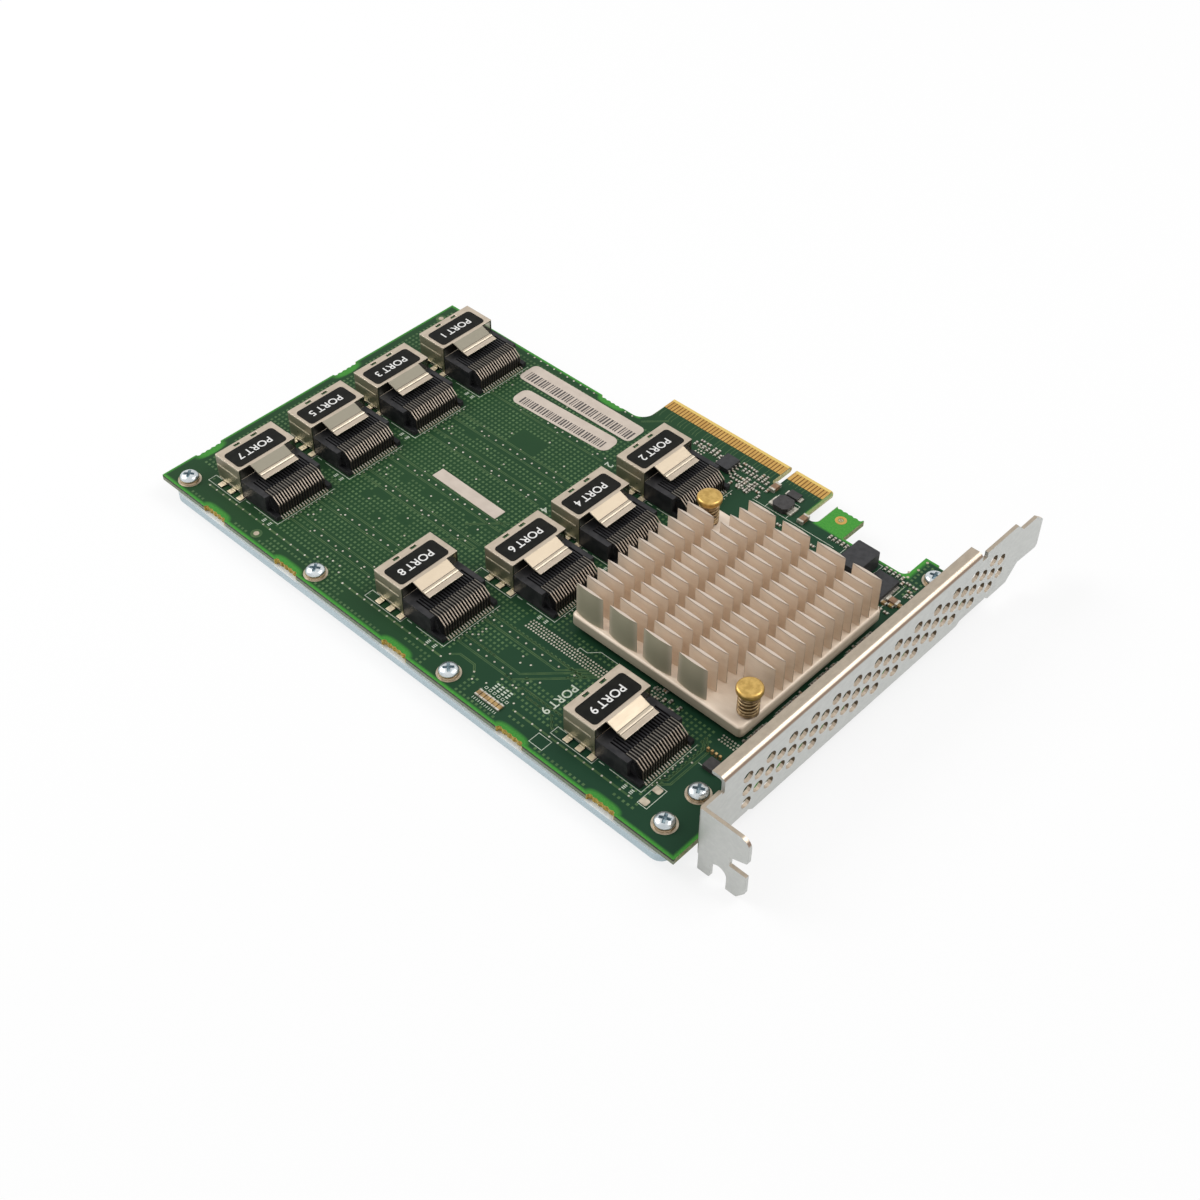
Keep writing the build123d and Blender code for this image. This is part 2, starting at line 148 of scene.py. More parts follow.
# Rows of plated holes: first x, y, pitch and count
VIA_ROWS = [
    (-65.8, -43.5, 2.54, 12),
    (-68.4, -52.3, 2.54, 13),
    (-73.0, -65.2, 3.6, 1),
    (-69.4, -65.2, 2.54, 12),
    (-67.7, -73.9, 2.54, 12),
    (-69.5, -87.5, 2.54, 8),
    (-68.0, -96.1, 2.54, 8),
    (-13.6, -87.4, 2.54, 1),
    (-11.0, -87.4, 2.54, 7),
    (-14.6, -96.1, 2.54, 6),
    (-56.0, -29.7, 2.54, 5),
    (-38.8, -29.7, 2.54, 2),
    (-80.0, -12.9, 2.4, 11),
    (-45.0, -12.9, 2.4, 2),
    (-98.8, -103.1, 2.54, 15),
    (-49.8, -103.1, 2.54, 14),
    (6.6, -103.1, 2.54, 14),
]
SINGLE_VIAS = [
    (-16.2, -87.3), (-15.5, -90.4), (-15.5, -91.6), (-15.5, -92.8), (-16.5, -93.7),
    (-13.8, -93.7), (-3.6, -90.6), (-2.7, -92.4), (-0.5, -91.3), (4.6, -93.6),
    (2.7, -95.5), (-2.1, -98.5), (0.8, -98.2), (1.9, -98.2), (4.2, -98.5),
    (-6.9, -103.0), (-3.8, -101.7), (4.7, -101.7), (-8.1, -101.2), (-15.8, -101.2),
    (-72.6, -47.3), (-72.6, -48.4), (-73.4, -49.4), (-70.7, -49.4), (-59.9, -47.3),
    (-52.8, -48.5), (-41.3, -47.4), (-41.5, -38.8), (-50.4, -34.8), (-59.8, -38.8),
    (-72.6, -68.0), (-72.6, -69.2), (-73.3, -71.1), (-70.9, -71.0), (-57.1, -68.8),
    (-40.4, -69.2), (-55.3, -78.0), (-60.2, -82.7), (-51.4, -82.6), (-67.3, -79.7),
    (-72.6, -90.4), (-72.6, -92.6), (-73.4, -93.6), (-70.7, -93.6), (-53.7, -57.0),
    (-63.2, -59.0), (-44.0, -59.0), (-59.0, -99.8), (-57.0, -99.8), (-54.6, -99.8),
    (-60.6, -101.4), (-53.1, -101.4), (-47.0, -97.6), (-73.6, -25.0), (-57.0, -21.8),
    (17.5, -91.5), (15.7, -93.2), (41.5, -88.8), (41.2, -91.4), (43.2, -87.6),
    (27.3, -98.6), (-23.6, -68.6), (-23.6, -90.4), (13.9, -87.5), (8.5, -86.9),
]

# Fields of plated holes: first x, first y, columns, rows and pitch
VIA_FIELDS = [
    (-9.8, -83.6, 29, 4, 0.8),
    (23.6, -79.4, 4, 4, 0.85),
    (43.2, -79.0, 6, 3, 0.8),
    (-22.0, -12.0, 3, 4, 0.9),
]

# Loose patches where the board shows no dots: centre x, centre y, half width, half height
DOT_GAPS = [
    (-66.4, -68.4, 1.6, 1.6),
    (-57.2, -68.6, 2.4, 1.6),
    (-66.6, -76.6, 2.4, 1.4),
    (-55.4, -78.4, 1.6, 1.2),
    (-60.4, -82.8, 1.7, 1.4),
    (-68.8, -78.9, 1.8, 1.2),
    (-40.8, -69.8, 1.6, 1.5),
    (-67.2, -46.4, 1.7, 1.2),
    (-44.6, -68.0, 1.0, 1.0),
    (-3.4, -92.6, 4.6, 2.2),
    (3.4, -91.6, 6.0, 2.0),
    (-10.0, -99.2, 7.4, 2.0),
    (-13.0, -104.8, 5.0, 4.4),
    (-90.0, -104.8, 16.0, 1.4),
    (-37.0, -105.2, 10.0, 1.3),
    (-54.0, -38.6, 4.6, 2.9),
    (-77.2, -106.2, 1.5, 1.5),
    (-108.0, -18.2, 1.5, 1.5),
    (24.0, -104.8, 12.6, 1.6),
    (50.5, -94.0, 7.6, 14.0),
    (0.6, -103.8, 6.0, 3.2),
]


def mm(*values):
    """Millimetres to metres."""
    return tuple(value * MM for value in values)


class Finish:
    """One node material under construction."""

    def __init__(self, name):
        self.material = bpy.data.materials.new(name)
        self.material.use_nodes = True
        self.nodes = self.material.node_tree.nodes
        self.links = self.material.node_tree.links
        self.shader = self.nodes["Principled BSDF"]
        coordinates = self.nodes.new("ShaderNodeTexCoord")
        self.place = coordinates.outputs["Object"]
        self.split = self.nodes.new("ShaderNodeSeparateXYZ")
        self.links.new(self.place, self.split.inputs[0])
        self.faces = None

    def feed(self, socket, value):
        """Link a socket, or set it if the value is a plain number or colour."""
        if isinstance(value, bpy.types.NodeSocket):
            self.links.new(value, socket)
        elif isinstance(value, tuple) and len(value) == 3 and len(socket.default_value) == 4:
            socket.default_value = (*value, 1.0)
        else:
            socket.default_value = value

    def along(self, axis):
        """Position along X, Y or Z in metres."""
        return self.split.outputs[axis]

    def facing(self, axis):
        """The surface normal's part along X, Y or Z."""
        if self.faces is None:
            geometry = self.nodes.new("ShaderNodeNewGeometry")
            self.faces = self.nodes.new("ShaderNodeSeparateXYZ")
            self.links.new(geometry.outputs["Normal"], self.faces.inputs[0])
        return self.faces.outputs[axis]

    def math(self, operation, first, second=0.0):
        node = self.nodes.new("ShaderNodeMath")
        node.operation = operation
        self.feed(node.inputs[0], first)
        self.feed(node.inputs[1], second)
        return node.outputs[0]

    def step(self, value, low, high, start=0.0, end=1.0):
        """Go smoothly from start to end as the value goes from low to high."""
        node = self.nodes.new("ShaderNodeMapRange")
        node.interpolation_type = "SMOOTHSTEP"
        self.feed(node.inputs[0], value)
        for index, number in enumerate((low, high, start, end), start=1):
            node.inputs[index].default_value = number
        return node.outputs[0]

    def stretched(self, x, y, z):
        """The place, scaled on each axis, for grain that runs one way."""
        node = self.nodes.new("ShaderNodeMapping")
        self.links.new(self.place, node.inputs[0])
        node.inputs["Scale"].default_value = (x, y, z)
        return node.outputs[0]

    def noise(self, scale, detail=3.0, rough=0.5, place=None):
        node = self.nodes.new("ShaderNodeTexNoise")
        self.links.new(place or self.place, node.inputs["Vector"])
        node.inputs["Scale"].default_value = scale
        node.inputs["Detail"].default_value = detail
        node.inputs["Roughness"].default_value = rough
        return node.outputs["Fac"]

    def mix(self, share, first, second, blend="MIX"):
        node = self.nodes.new("ShaderNodeMix")
        node.data_type = "RGBA"
        node.blend_type = blend
        self.feed(node.inputs[0], share)
        self.feed(node.inputs[6], first)
        self.feed(node.inputs[7], second)
        return node.outputs[2]

    def bump(self, height, strength=0.3, depth=0.00005, edge=0.0):
        """Fine relief, with an edge radius that lets sharp arrises catch the light."""
        node = self.nodes.new("ShaderNodeBump")
        if edge:
            bevel = self.nodes.new("ShaderNodeBevel")
            bevel.samples = 4
            bevel.inputs["Radius"].default_value = edge
            self.links.new(bevel.outputs[0], node.inputs["Normal"])
        node.inputs["Strength"].default_value = strength
        node.inputs["Distance"].default_value = depth
        self.links.new(height, node.inputs["Height"])
        self.links.new(node.outputs[0], self.shader.inputs["Normal"])

    def set(self, name, value):
        self.feed(self.shader.inputs[name], value)


def mottled(name, light, dark, metal, rough, grain=900.0, spread=(0.35, 0.65), relief=0.15, gloss=0.5):
    """A finish whose colour and gloss vary softly between two tones."""
    finish = Finish(name)
    cloud = finish.noise(grain, 4.0)
    fine = finish.noise(grain * 6, 2.0)
    share = finish.step(cloud, spread[0], spread[1])
    finish.set("Base Color", finish.mix(share, dark, light))
    finish.set("Metallic", metal)
    finish.set("Roughness", finish.step(fine, 0.2, 0.8, rough - 0.05, rough + 0.07))
    finish.set("Specular IOR Level", gloss)
    finish.bump(fine, relief, 0.00002)
    return finish


def mask_finish(look):
    """Green solder mask: dark over copper, bright where the laminate shows, raw at the cut sides, with a painted shadow
    on the upper band of the front cut side.
    """
    finish = Finish("solder_mask")
    x, y = finish.along(0), finish.along(1)
    rims = [
        finish.step(x, -0.1103, -0.1094, 1.0, 0.0),
        finish.step(y, -0.1086, -0.1077, 1.0, 0.0),
        finish.step(x, 0.0558, 0.0567),
    ]
    left_top = finish.step(x, -0.0400, -0.0415)
    rims.append(finish.math("MULTIPLY", finish.step(y, -0.0130, -0.0120), left_top))
    tab_x = finish.math("MULTIPLY", finish.step(x, 0.0144, 0.0156), finish.step(x, 0.0253, 0.0243))
    rims.append(finish.math("MULTIPLY", finish.step(y, -0.0124, -0.0116), tab_x))
    bay_x = finish.math("MULTIPLY", finish.step(x, 0.0150, 0.0160), finish.step(x, 0.0440, 0.0425))
    rims.append(finish.math("MULTIPLY", finish.step(y, -0.0130, -0.0120), bay_x))
    corner = finish.math("MULTIPLY", finish.step(x, 0.0418, 0.0424), finish.step(x, 0.0436, 0.0428))
    rims.append(finish.math("MULTIPLY", finish.step(y, -0.0122, -0.0116), corner))
    rims.append(finish.math("MULTIPLY", finish.step(y, -0.0048, -0.0040), finish.step(x, 0.0418, 0.0424)))
    tongue_end = finish.math("MULTIPLY", finish.step(x, 0.0117, 0.0124), finish.step(x, 0.0129, 0.0127))
    rims.append(finish.math("MULTIPLY", finish.step(y, -0.0124, -0.0118), tongue_end))
    for bite_x, bite_y, half_x, half_y in BITES:
        along = finish.math("DIVIDE", finish.math("SUBTRACT", x, bite_x * MM), half_x * MM)
        across = finish.math("DIVIDE", finish.math("SUBTRACT", y, bite_y * MM), half_y * MM)
        reach = finish.math(
            "ADD", finish.math("POWER", along, 4.0), finish.math("POWER", across, 2.0)
        )
        rims.append(finish.step(reach, 1.0, 0.25, 0.0, 0.85))
    rim = rims[0]
    for other in rims[1:]:
        rim = finish.math("MAXIMUM", rim, other)
    cloud = finish.noise(55.0, 3.0)
    weave = finish.noise(2600.0, 2.0)
    tone = finish.mix(
        finish.step(x, -0.060, 0.030), tuple(look.mask_left), tuple(look.mask_right)
    )
    tone = finish.mix(finish.step(cloud, 0.3, 0.8, 0.0, 0.35), tone, (0.008, 0.034, 0.015))
    bare = finish.mix(finish.step(weave, 0.3, 0.7), tuple(look.mask_bare), (0.070, 0.300, 0.045))
    face = finish.mix(rim, tone, bare)
    speck = finish.noise(1800.0, 3.0, 0.7)
    strand = finish.noise(500.0, 2.0, 0.6, finish.stretched(1.0, 1.0, 9.0))
    cut = finish.mix(finish.step(speck, 0.35, 0.65), (0.105, 0.150, 0.065), (0.300, 0.330, 0.150))
    cut = finish.mix(finish.step(strand, 0.50, 0.72, 0.0, 0.6), cut, (0.330, 0.230, 0.060))
    level = finish.math("ABSOLUTE", finish.facing(2))
    notch = None
    for bite_x, bite_y, half_x, half_y in BITES:
        reach = 0.0041
        near_x = finish.step(finish.math("ABSOLUTE", finish.math("SUBTRACT", x, bite_x * MM)), reach, reach - 0.0002)
        near_y = finish.step(finish.math("ABSOLUTE", finish.math("SUBTRACT", y, bite_y * MM)), reach, reach - 0.0002)
        near = finish.math("MULTIPLY", near_x, near_y)
        notch = near if notch is None else finish.math("MAXIMUM", notch, near)
    cut = finish.mix(notch, cut, finish.mix(finish.step(speck, 0.35, 0.65), (0.300, 0.190, 0.040), (0.620, 0.440, 0.100)))
    # Painted shadow: the upper band of the front cut side is darkened for the shadow gap above the stiffener bar; the
    # band below it is olive.
    shade = finish.math("MULTIPLY", finish.step(y, -0.1080, -0.1086), finish.math("SUBTRACT", 1.0, notch))
    lower = finish.mix(finish.step(finish.along(2), -0.00045, -0.00065), (0.030, 0.034, 0.018), (0.220, 0.250, 0.170))
    cut = finish.mix(shade, cut, lower)
    hole_x = finish.math("SUBTRACT", x, 19.86 * MM)
    hole_y = finish.math("SUBTRACT", y, -7.27 * MM)
    hole = finish.math("ADD", finish.math("MULTIPLY", hole_x, hole_x), finish.math("MULTIPLY", hole_y, hole_y))
    cut = finish.mix(finish.step(hole, 1.0e-6, 0.7e-6), cut, (0.820, 0.760, 0.560))
    tongue_side = finish.math("MULTIPLY", finish.step(y, -0.0118, -0.0110), finish.step(x, 0.0135, 0.0130))
    cut = finish.mix(tongue_side, cut, finish.mix(finish.step(speck, 0.35, 0.65), (0.480, 0.470, 0.240), (0.640, 0.600, 0.340)))
    side = finish.step(level, 0.9, 0.5)
    colour = finish.mix(side, face, cut)
    bevel_share = finish.math(
        "MULTIPLY", finish.step(level, 0.95, 0.85), finish.step(y, -0.0010, -0.0006)
    )
    bevel = finish.mix(finish.step(speck, 0.4, 0.6), (0.62, 0.46, 0.13), (0.44, 0.33, 0.10))
    colour = finish.mix(bevel_share, colour, bevel)
    tongue_x = finish.math("MULTIPLY", finish.step(x, -0.0395, -0.0393), finish.step(x, 0.0121, 0.0119))
    tongue = finish.math("MULTIPLY", finish.step(y, -0.00450, -0.00445), tongue_x)
    tongue = finish.math("MULTIPLY", tongue, finish.step(level, 0.9, 0.96))
    finish.set("Base Color", finish.mix(tongue, colour, (0.150, 0.066, 0.016)))
    finish.set("Roughness", finish.step(weave, 0.2, 0.8, 0.34, 0.46))
    finish.set("Specular IOR Level", 0.10)
    finish.bump(weave, 0.12, 0.00002)
    return finish.material


def bracket_finish(look):
    """Plated steel with painted reflection: cool on the outside, warm where the bends and inner sides look at the
    board, with a painted highlight and a painted dark line on the bend, and painted light and shade in the vent holes.
    """
    finish = Finish("bracket_plate")
    grain = finish.noise(900.0, 3.0, 0.6, finish.stretched(1.0, 0.5, 1.0))
    fine = finish.noise(5200.0, 2.0)
    cool = finish.mix(finish.step(grain, 0.3, 0.7), tuple(look.cool), (0.530, 0.541, 0.520))
    warm = finish.mix(finish.step(grain, 0.3, 0.7), tuple(look.warm), (0.350, 0.295, 0.230))
    # Painted highlight: the bend's facets are painted bright cream.
    bend_painted_highlight = finish.math("MULTIPLY", finish.step(finish.facing(2), 0.997, 0.96), finish.step(finish.facing(2), 0.68, 0.80))
    bend_painted_highlight = finish.math("MULTIPLY", bend_painted_highlight, finish.step(finish.facing(0), 0.04, 0.15))
    warm = finish.mix(bend_painted_highlight, warm, (0.760, 0.640, 0.510))
    # Painted shade: a dark brown line where the bend turns down to the face.
    fold_painted_shade = finish.math("MULTIPLY", finish.step(finish.facing(2), 0.80, 0.66), finish.step(finish.facing(2), 0.05, 0.15))
    fold_painted_shade = finish.math("MULTIPLY", fold_painted_shade, finish.step(finish.facing(0), 0.30, 0.50))
    warm = finish.mix(fold_painted_shade, warm, (0.280, 0.195, 0.140))
    # Painted reflection: faces that look outward are painted cool, the flange and inner sides warm.
    outward = finish.step(finish.facing(0), 0.86, 0.98)
    outward = finish.math("MAXIMUM", outward, finish.step(finish.facing(1), -0.6, -0.9))
    wall = finish.math(
        "MULTIPLY",
        finish.step(finish.math("ABSOLUTE", finish.facing(0)), 0.4, 0.1),
        finish.step(finish.along(2), 0.0120, 0.0115),
    )
    wall = finish.math("MULTIPLY", wall, finish.step(finish.along(1), -0.0905, -0.0900))
    colour = finish.mix(outward, warm, cool)
    # Painted light and shade in the vent holes: the walls are dark brown, and pale where they face up.
    rim = finish.mix(finish.step(fine, 0.3, 0.7), (0.130, 0.090, 0.055), (0.200, 0.150, 0.100))
    rim = finish.mix(finish.step(finish.facing(2), 0.15, 0.95), rim, (0.560, 0.470, 0.370))
    finish.set("Base Color", finish.mix(wall, colour, rim))
    finish.set("Metallic", look.metal)
    finish.set("Roughness", finish.step(grain, 0.2, 0.8, 0.34, 0.46))
    finish.bump(fine, 0.10, 0.00002, 0.00012)
    return finish.material


def shell_finish(look):
    """Nickel plate on the socket shells, with painted reflection and highlights on the tabs, front ends and sides."""
    finish = Finish("socket_shell")
    grain = finish.noise(650.0, 3.0, 0.6, finish.stretched(1.0, 0.4, 1.0))
    fine = finish.noise(4200.0, 2.0)
    plate = finish.mix(finish.step(grain, 0.3, 0.7), tuple(look.shell), (0.460, 0.385, 0.300))
    slope = finish.math("MULTIPLY", finish.step(finish.facing(0), 0.12, 0.25), finish.step(finish.facing(2), 0.5, 0.8))
    # Painted reflection: the spring tab slopes are dark on the sockets far from the bracket and bright towards it.
    tab = finish.mix(finish.step(finish.along(0), -0.085, -0.040), (0.285, 0.260, 0.200), (0.560, 0.465, 0.345))
    plate = finish.mix(slope, plate, tab)
    # Painted reflection: the front ends below the top are painted dark olive for the board they mirror.
    front = finish.math("MULTIPLY", finish.step(finish.facing(0), 0.6, 0.9), finish.step(finish.along(2), 0.00825, 0.00805))
    plate = finish.mix(front, plate, (0.050, 0.062, 0.036))
    # Painted light on the sides: dark olive low down for the board they reflect, lighter higher up, and a painted
    # highlight along the top edge.
    side = finish.step(finish.math("ABSOLUTE", finish.facing(1)), 0.6, 0.9)
    low = finish.step(finish.along(2), 0.0030, 0.0075)
    flank_painted_light = finish.mix(low, (0.180, 0.180, 0.110), (0.330, 0.290, 0.210))
    flank_painted_light = finish.mix(finish.step(finish.along(2), 0.00775, 0.00815), flank_painted_light, (0.900, 0.780, 0.630))
    foot = finish.math("MULTIPLY", finish.step(finish.along(2), 0.00045, 0.00035), finish.step(finish.facing(2), 0.5, 0.8))
    plate = finish.mix(foot, plate, (0.860, 0.720, 0.530))
    finish.set("Base Color", finish.mix(side, plate, flank_painted_light))
    finish.set("Metallic", look.metal)
    gloss = finish.step(grain, 0.2, 0.8, 0.26, 0.38)
    finish.set("Roughness", finish.math("ADD", gloss, finish.math("MULTIPLY", slope, 0.14)))
    finish.bump(fine, 0.04, 0.00002, 0.00022)
    return finish.material


def housing_finish():
    """Black moulding: a satin skin, with painted shade in the grooves."""
    finish = Finish("socket_housing")
    cloud = finish.noise(420.0, 3.0)
    fine = finish.noise(5200.0, 2.0)
    skin = finish.mix(finish.step(cloud, 0.35, 0.65), (0.015, 0.015, 0.017), (0.031, 0.030, 0.032))
    # Painted shade: the groove floors below the housing top are painted near black.
    deep = finish.step(finish.along(2), 0.00526, 0.00512)
    groove_painted_shade = finish.math("MULTIPLY", deep, finish.step(finish.facing(2), 0.05, 0.3))
    finish.set("Base Color", finish.mix(groove_painted_shade, skin, (0.006, 0.006, 0.007)))
    finish.set("Roughness", finish.step(fine, 0.2, 0.8, 0.36, 0.50))
    finish.set("Specular IOR Level", 0.22)
    finish.bump(fine, 0.2, 0.00003, 0.00015)
    return finish.material


def sink_finish(look):
    """Pale extruded alloy: warm on top, with an olive painted reflection where the outer pins look at the board,
    painted shade on the base's front and lower sides, and a painted dark line at the fin tips.
    """
    finish = Finish("heatsink_alloy")
    grain = finish.noise(520.0, 4.0, 0.6, finish.stretched(0.35, 1.0, 1.0))
    fine = finish.noise(6000.0, 2.0)
    skin = finish.mix(finish.step(grain, 0.3, 0.7), tuple(look.alloy), (0.735, 0.610, 0.485))
    crown = finish.step(finish.along(2), 0.01350, 0.01408)
    skin = finish.mix(crown, skin, (0.560, 0.475, 0.400))
    # Painted reflection: the outer fin faces that look at the board are painted olive.
    outer_painted_reflection = finish.math("MULTIPLY", finish.step(finish.along(1), -0.0757, -0.0763), finish.step(finish.facing(1), -0.6, -0.9))
    outer_painted_reflection = finish.math("MULTIPLY", outer_painted_reflection, finish.step(finish.along(2), 0.0046, 0.0052))
    skin = finish.mix(outer_painted_reflection, skin, (0.360, 0.330, 0.235))
    # Painted shade: the base's front face, and all its sides low down, are painted darker.
    base = finish.step(finish.along(2), 0.0047, 0.0042)
    front = finish.math("MULTIPLY", base, finish.step(finish.facing(1), -0.5, -0.85))
    skin = finish.mix(front, skin, (0.430, 0.375, 0.285))
    skin = finish.mix(finish.step(finish.along(2), 0.0033, 0.0021), skin, (0.400, 0.340, 0.260))
    # Painted shade: a thin dark line at the end of each fin.
    column = finish.math("MODULO", finish.math("ADD", finish.along(0), (4.985 - 2.73) * MM), 9.97 * MM)
    column = finish.math("ABSOLUTE", finish.math("SUBTRACT", column, 4.985 * MM))
    tip = finish.math("MULTIPLY", finish.step(column, 0.00392, 0.00404), finish.step(finish.along(2), 0.0050, 0.0056))
    tip = finish.math("MULTIPLY", tip, finish.step(finish.facing(2), 0.7, 0.4))
    skin = finish.mix(tip, skin, (0.330, 0.270, 0.205))
    finish.set("Base Color", skin)
    finish.set("Metallic", 0.2)
    finish.set("Roughness", finish.step(fine, 0.2, 0.8, 0.40, 0.52))
    finish.bump(fine, 0.18, 0.00003)
    return finish.material


def moulded_finish(name, tone=(0.026, 0.026, 0.028)):
    return mottled(name, tuple(value * 1.5 for value in tone), tone, 0.0, 0.48, 700.0, (0.3, 0.7), 0.25, 0.25).material


def build(name, vertices, faces, material, smooth=False):
    """Make a mesh piece from millimetre points and let it ride on the card."""
    mesh = bpy.data.meshes.new(name)
    mesh.from_pydata([mm(*vertex) for vertex in vertices], [], faces)
    mesh.validate()
    if smooth:
        mesh.shade_smooth()
    mesh.materials.append(material)
    piece = bpy.data.objects.new(name, mesh)
    bpy.context.scene.collection.objects.link(piece)
    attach(piece, "root")
    return piece


class Sheet:
    """Collects thin raised shapes that become one mesh."""

    def __init__(self, base=0.0, height=0.02):
        self.base = base
        self.height = height
        self.vertices = []
        self.faces = []

    def prism(self, outline, base=None, height=None):
        """A closed outline, raised from the base; the outline runs counter-clockwise."""
        low = self.base if base is None else base
        high = low + (self.height if height is None else height)
        count = len(outline)
        start = len(self.vertices)
        self.vertices += [(x, y, low) for x, y in outline]
        self.vertices += [(x, y, high) for x, y in outline]
        self.faces.append([start + count + index for index in range(count)])
        self.faces.append([start + count - 1 - index for index in range(count)])
        for index in range(count):
            after = (index + 1) % count
            self.faces.append([start + index, start + after, start + count + after, start + count + index])

    def box(self, x0, x1, y0, y1, base=None, height=None):
        self.prism([(x0, y0), (x1, y0), (x1, y1), (x0, y1)], base, height)

    def disc(self, x, y, radius, sides=8, base=None, height=None):
        turns = [2 * math.pi * (index + 0.5) / sides for index in range(sides)]
        self.prism([(x + radius * math.cos(turn), y + radius * math.sin(turn)) for turn in turns], base, height)

    def line(self, points, width):
        """A thin strip that follows straight runs, with mitred corners."""
        lefts, rights = [], []
        for index, (x, y) in enumerate(points):
            before = points[max(index - 1, 0)]
            after = points[min(index + 1, len(points) - 1)]
            into = Vector((x - before[0], y - before[1]))
            away = Vector((after[0] - x, after[1] - y))
            if into.length == 0:
                into = away
            if away.length == 0:
                away = into
            into, away = into.normalized(), away.normalized()
            middle = (into + away).normalized()
            reach = width / 2 / max(0.3, middle.dot(into))
            lefts.append((x - middle.y * reach, y + middle.x * reach))
            rights.append((x + middle.y * reach, y - middle.x * reach))
        self.prism(rights + lefts[::-1])

    def pair(self, points, width, gap):
        """Two strips side by side."""
        for side in (-1, 1):
            shifted = []
            for index, (x, y) in enumerate(points):
                before = points[max(index - 1, 0)]
                after = points[min(index + 1, len(points) - 1)]
                way = Vector((after[0] - before[0], after[1] - before[1])).normalized()
                shifted.append((x - way.y * side * gap, y + way.x * side * gap))
            self.line(shifted, width)

    def ring(self, x0, x1, y0, y1, width):
        """A rectangular outline."""
        self.box(x0, x1, y0, y0 + width)
        self.box(x0, x1, y1 - width, y1)
        self.box(x0, x0 + width, y0 + width, y1 - width)
        self.box(x1 - width, x1, y0 + width, y1 - width)

    def piece(self, name, material, slot):
        return build(name, self.vertices, self.faces, material)


def rounded(x0, x1, y0, y1, radius, turn=0.0, steps=5):
    """Outline of a rounded rectangle, turned about its middle by some degrees."""
    middle = Vector(((x0 + x1) / 2, (y0 + y1) / 2))
    corners = [(x1 - radius, y1 - radius, 0), (x0 + radius, y1 - radius, 90), (x0 + radius, y0 + radius, 180), (x1 - radius, y0 + radius, 270)]
    points = []
    for x, y, start in corners:
        for step in range(steps + 1):
            angle = math.radians(start + 90 * step / steps)
            points.append(Vector((x + radius * math.cos(angle), y + radius * math.sin(angle))))
    spin = Matrix.Rotation(math.radians(turn), 2)
    return [tuple(middle + spin @ (point - middle)) for point in points]


def carve(body, tool):
    """Cut one closed shape out of another; both are given as points and faces."""
    pair = []
    for label, (vertices, faces) in (("carved", body), ("carver", tool)):
        mesh = bpy.data.meshes.new(label)
        mesh.from_pydata([mm(*vertex) for vertex in vertices], [], faces)
        piece = bpy.data.objects.new(label, mesh)
        bpy.context.scene.collection.objects.link(piece)
        pair.append(piece)
    cut = pair[0].modifiers.new("cut", "BOOLEAN")
    cut.operation = "DIFFERENCE"
    cut.solver = "EXACT"
    cut.object = pair[1]
    bpy.context.view_layer.update()
    graph = bpy.context.evaluated_depsgraph_get()
    mesh = bpy.data.meshes.new_from_object(pair[0].evaluated_get(graph))
    for piece in pair:
        old = piece.data
        bpy.data.objects.remove(piece)
        bpy.data.meshes.remove(old)
    return mesh


def lettering(text, size, corner, turn, height, name, material, heavy=0.035):
    """Raised characters, placed by the corner where their baseline starts."""
    curve = bpy.data.curves.new(name + "_shape", "FONT")
    curve.body = text
    curve.size = size
    curve.extrude = 0.01
    curve.space_character = 1.02
    curve.space_word = 0.75
    curve.offset = heavy
    holder = bpy.data.objects.new(name + "_shape", curve)
    bpy.context.scene.collection.objects.link(holder)
    bpy.context.view_layer.update()
    graph = bpy.context.evaluated_depsgraph_get()
    mesh = bpy.data.meshes.new_from_object(holder.evaluated_get(graph))
    bpy.data.objects.remove(holder)
    bpy.data.curves.remove(curve)
    place = Matrix.Translation(Vector((*corner, height))) @ Matrix.Rotation(math.radians(turn), 4, "Z")
    mesh.transform(Matrix.Scale(MM, 4) @ place)
    mesh.name = name
    mesh.materials.clear()
    mesh.materials.append(material)
    piece = bpy.data.objects.new(name, mesh)
    bpy.context.scene.collection.objects.link(piece)
    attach(piece, "root")
    return piece


def dress(nodes, material):
    """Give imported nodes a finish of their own."""
    for name in nodes:
        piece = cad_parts[name]
        piece.data.materials.clear()
        piece.data.materials.append(material)


class CardBoardLook(bpy.types.PropertyGroup):
    mask_left: bpy.props.FloatVectorProperty(name="Mask, far end", description="Solder mask colour at the end away from the bracket", subtype="COLOR", size=3, default=(0.0160, 0.054, 0.0190))
    mask_right: bpy.props.FloatVectorProperty(name="Mask, bracket end", description="Solder mask colour near the bracket", subtype="COLOR", size=3, default=(0.013, 0.048, 0.024))
    mask_bare: bpy.props.FloatVectorProperty(name="Bare mask", description="Mask colour where no copper lies under it", subtype="COLOR", size=3, default=(0.045, 0.240, 0.035))
    trace_width: bpy.props.FloatProperty(name="Trace width", description="Width of one signal line", unit="LENGTH", default=0.0002)
    dot_size: bpy.props.FloatProperty(name="Dot size", description="Side of one filling copper dot", unit="LENGTH", default=0.00062)
    dot_pitch: bpy.props.FloatProperty(name="Dot pitch", description="Spacing of the copper dots", unit="LENGTH", default=0.00127)
    via_radius: bpy.props.FloatProperty(name="Plated hole radius", description="Radius of one plated hole's ring", unit="LENGTH", default=0.00026)


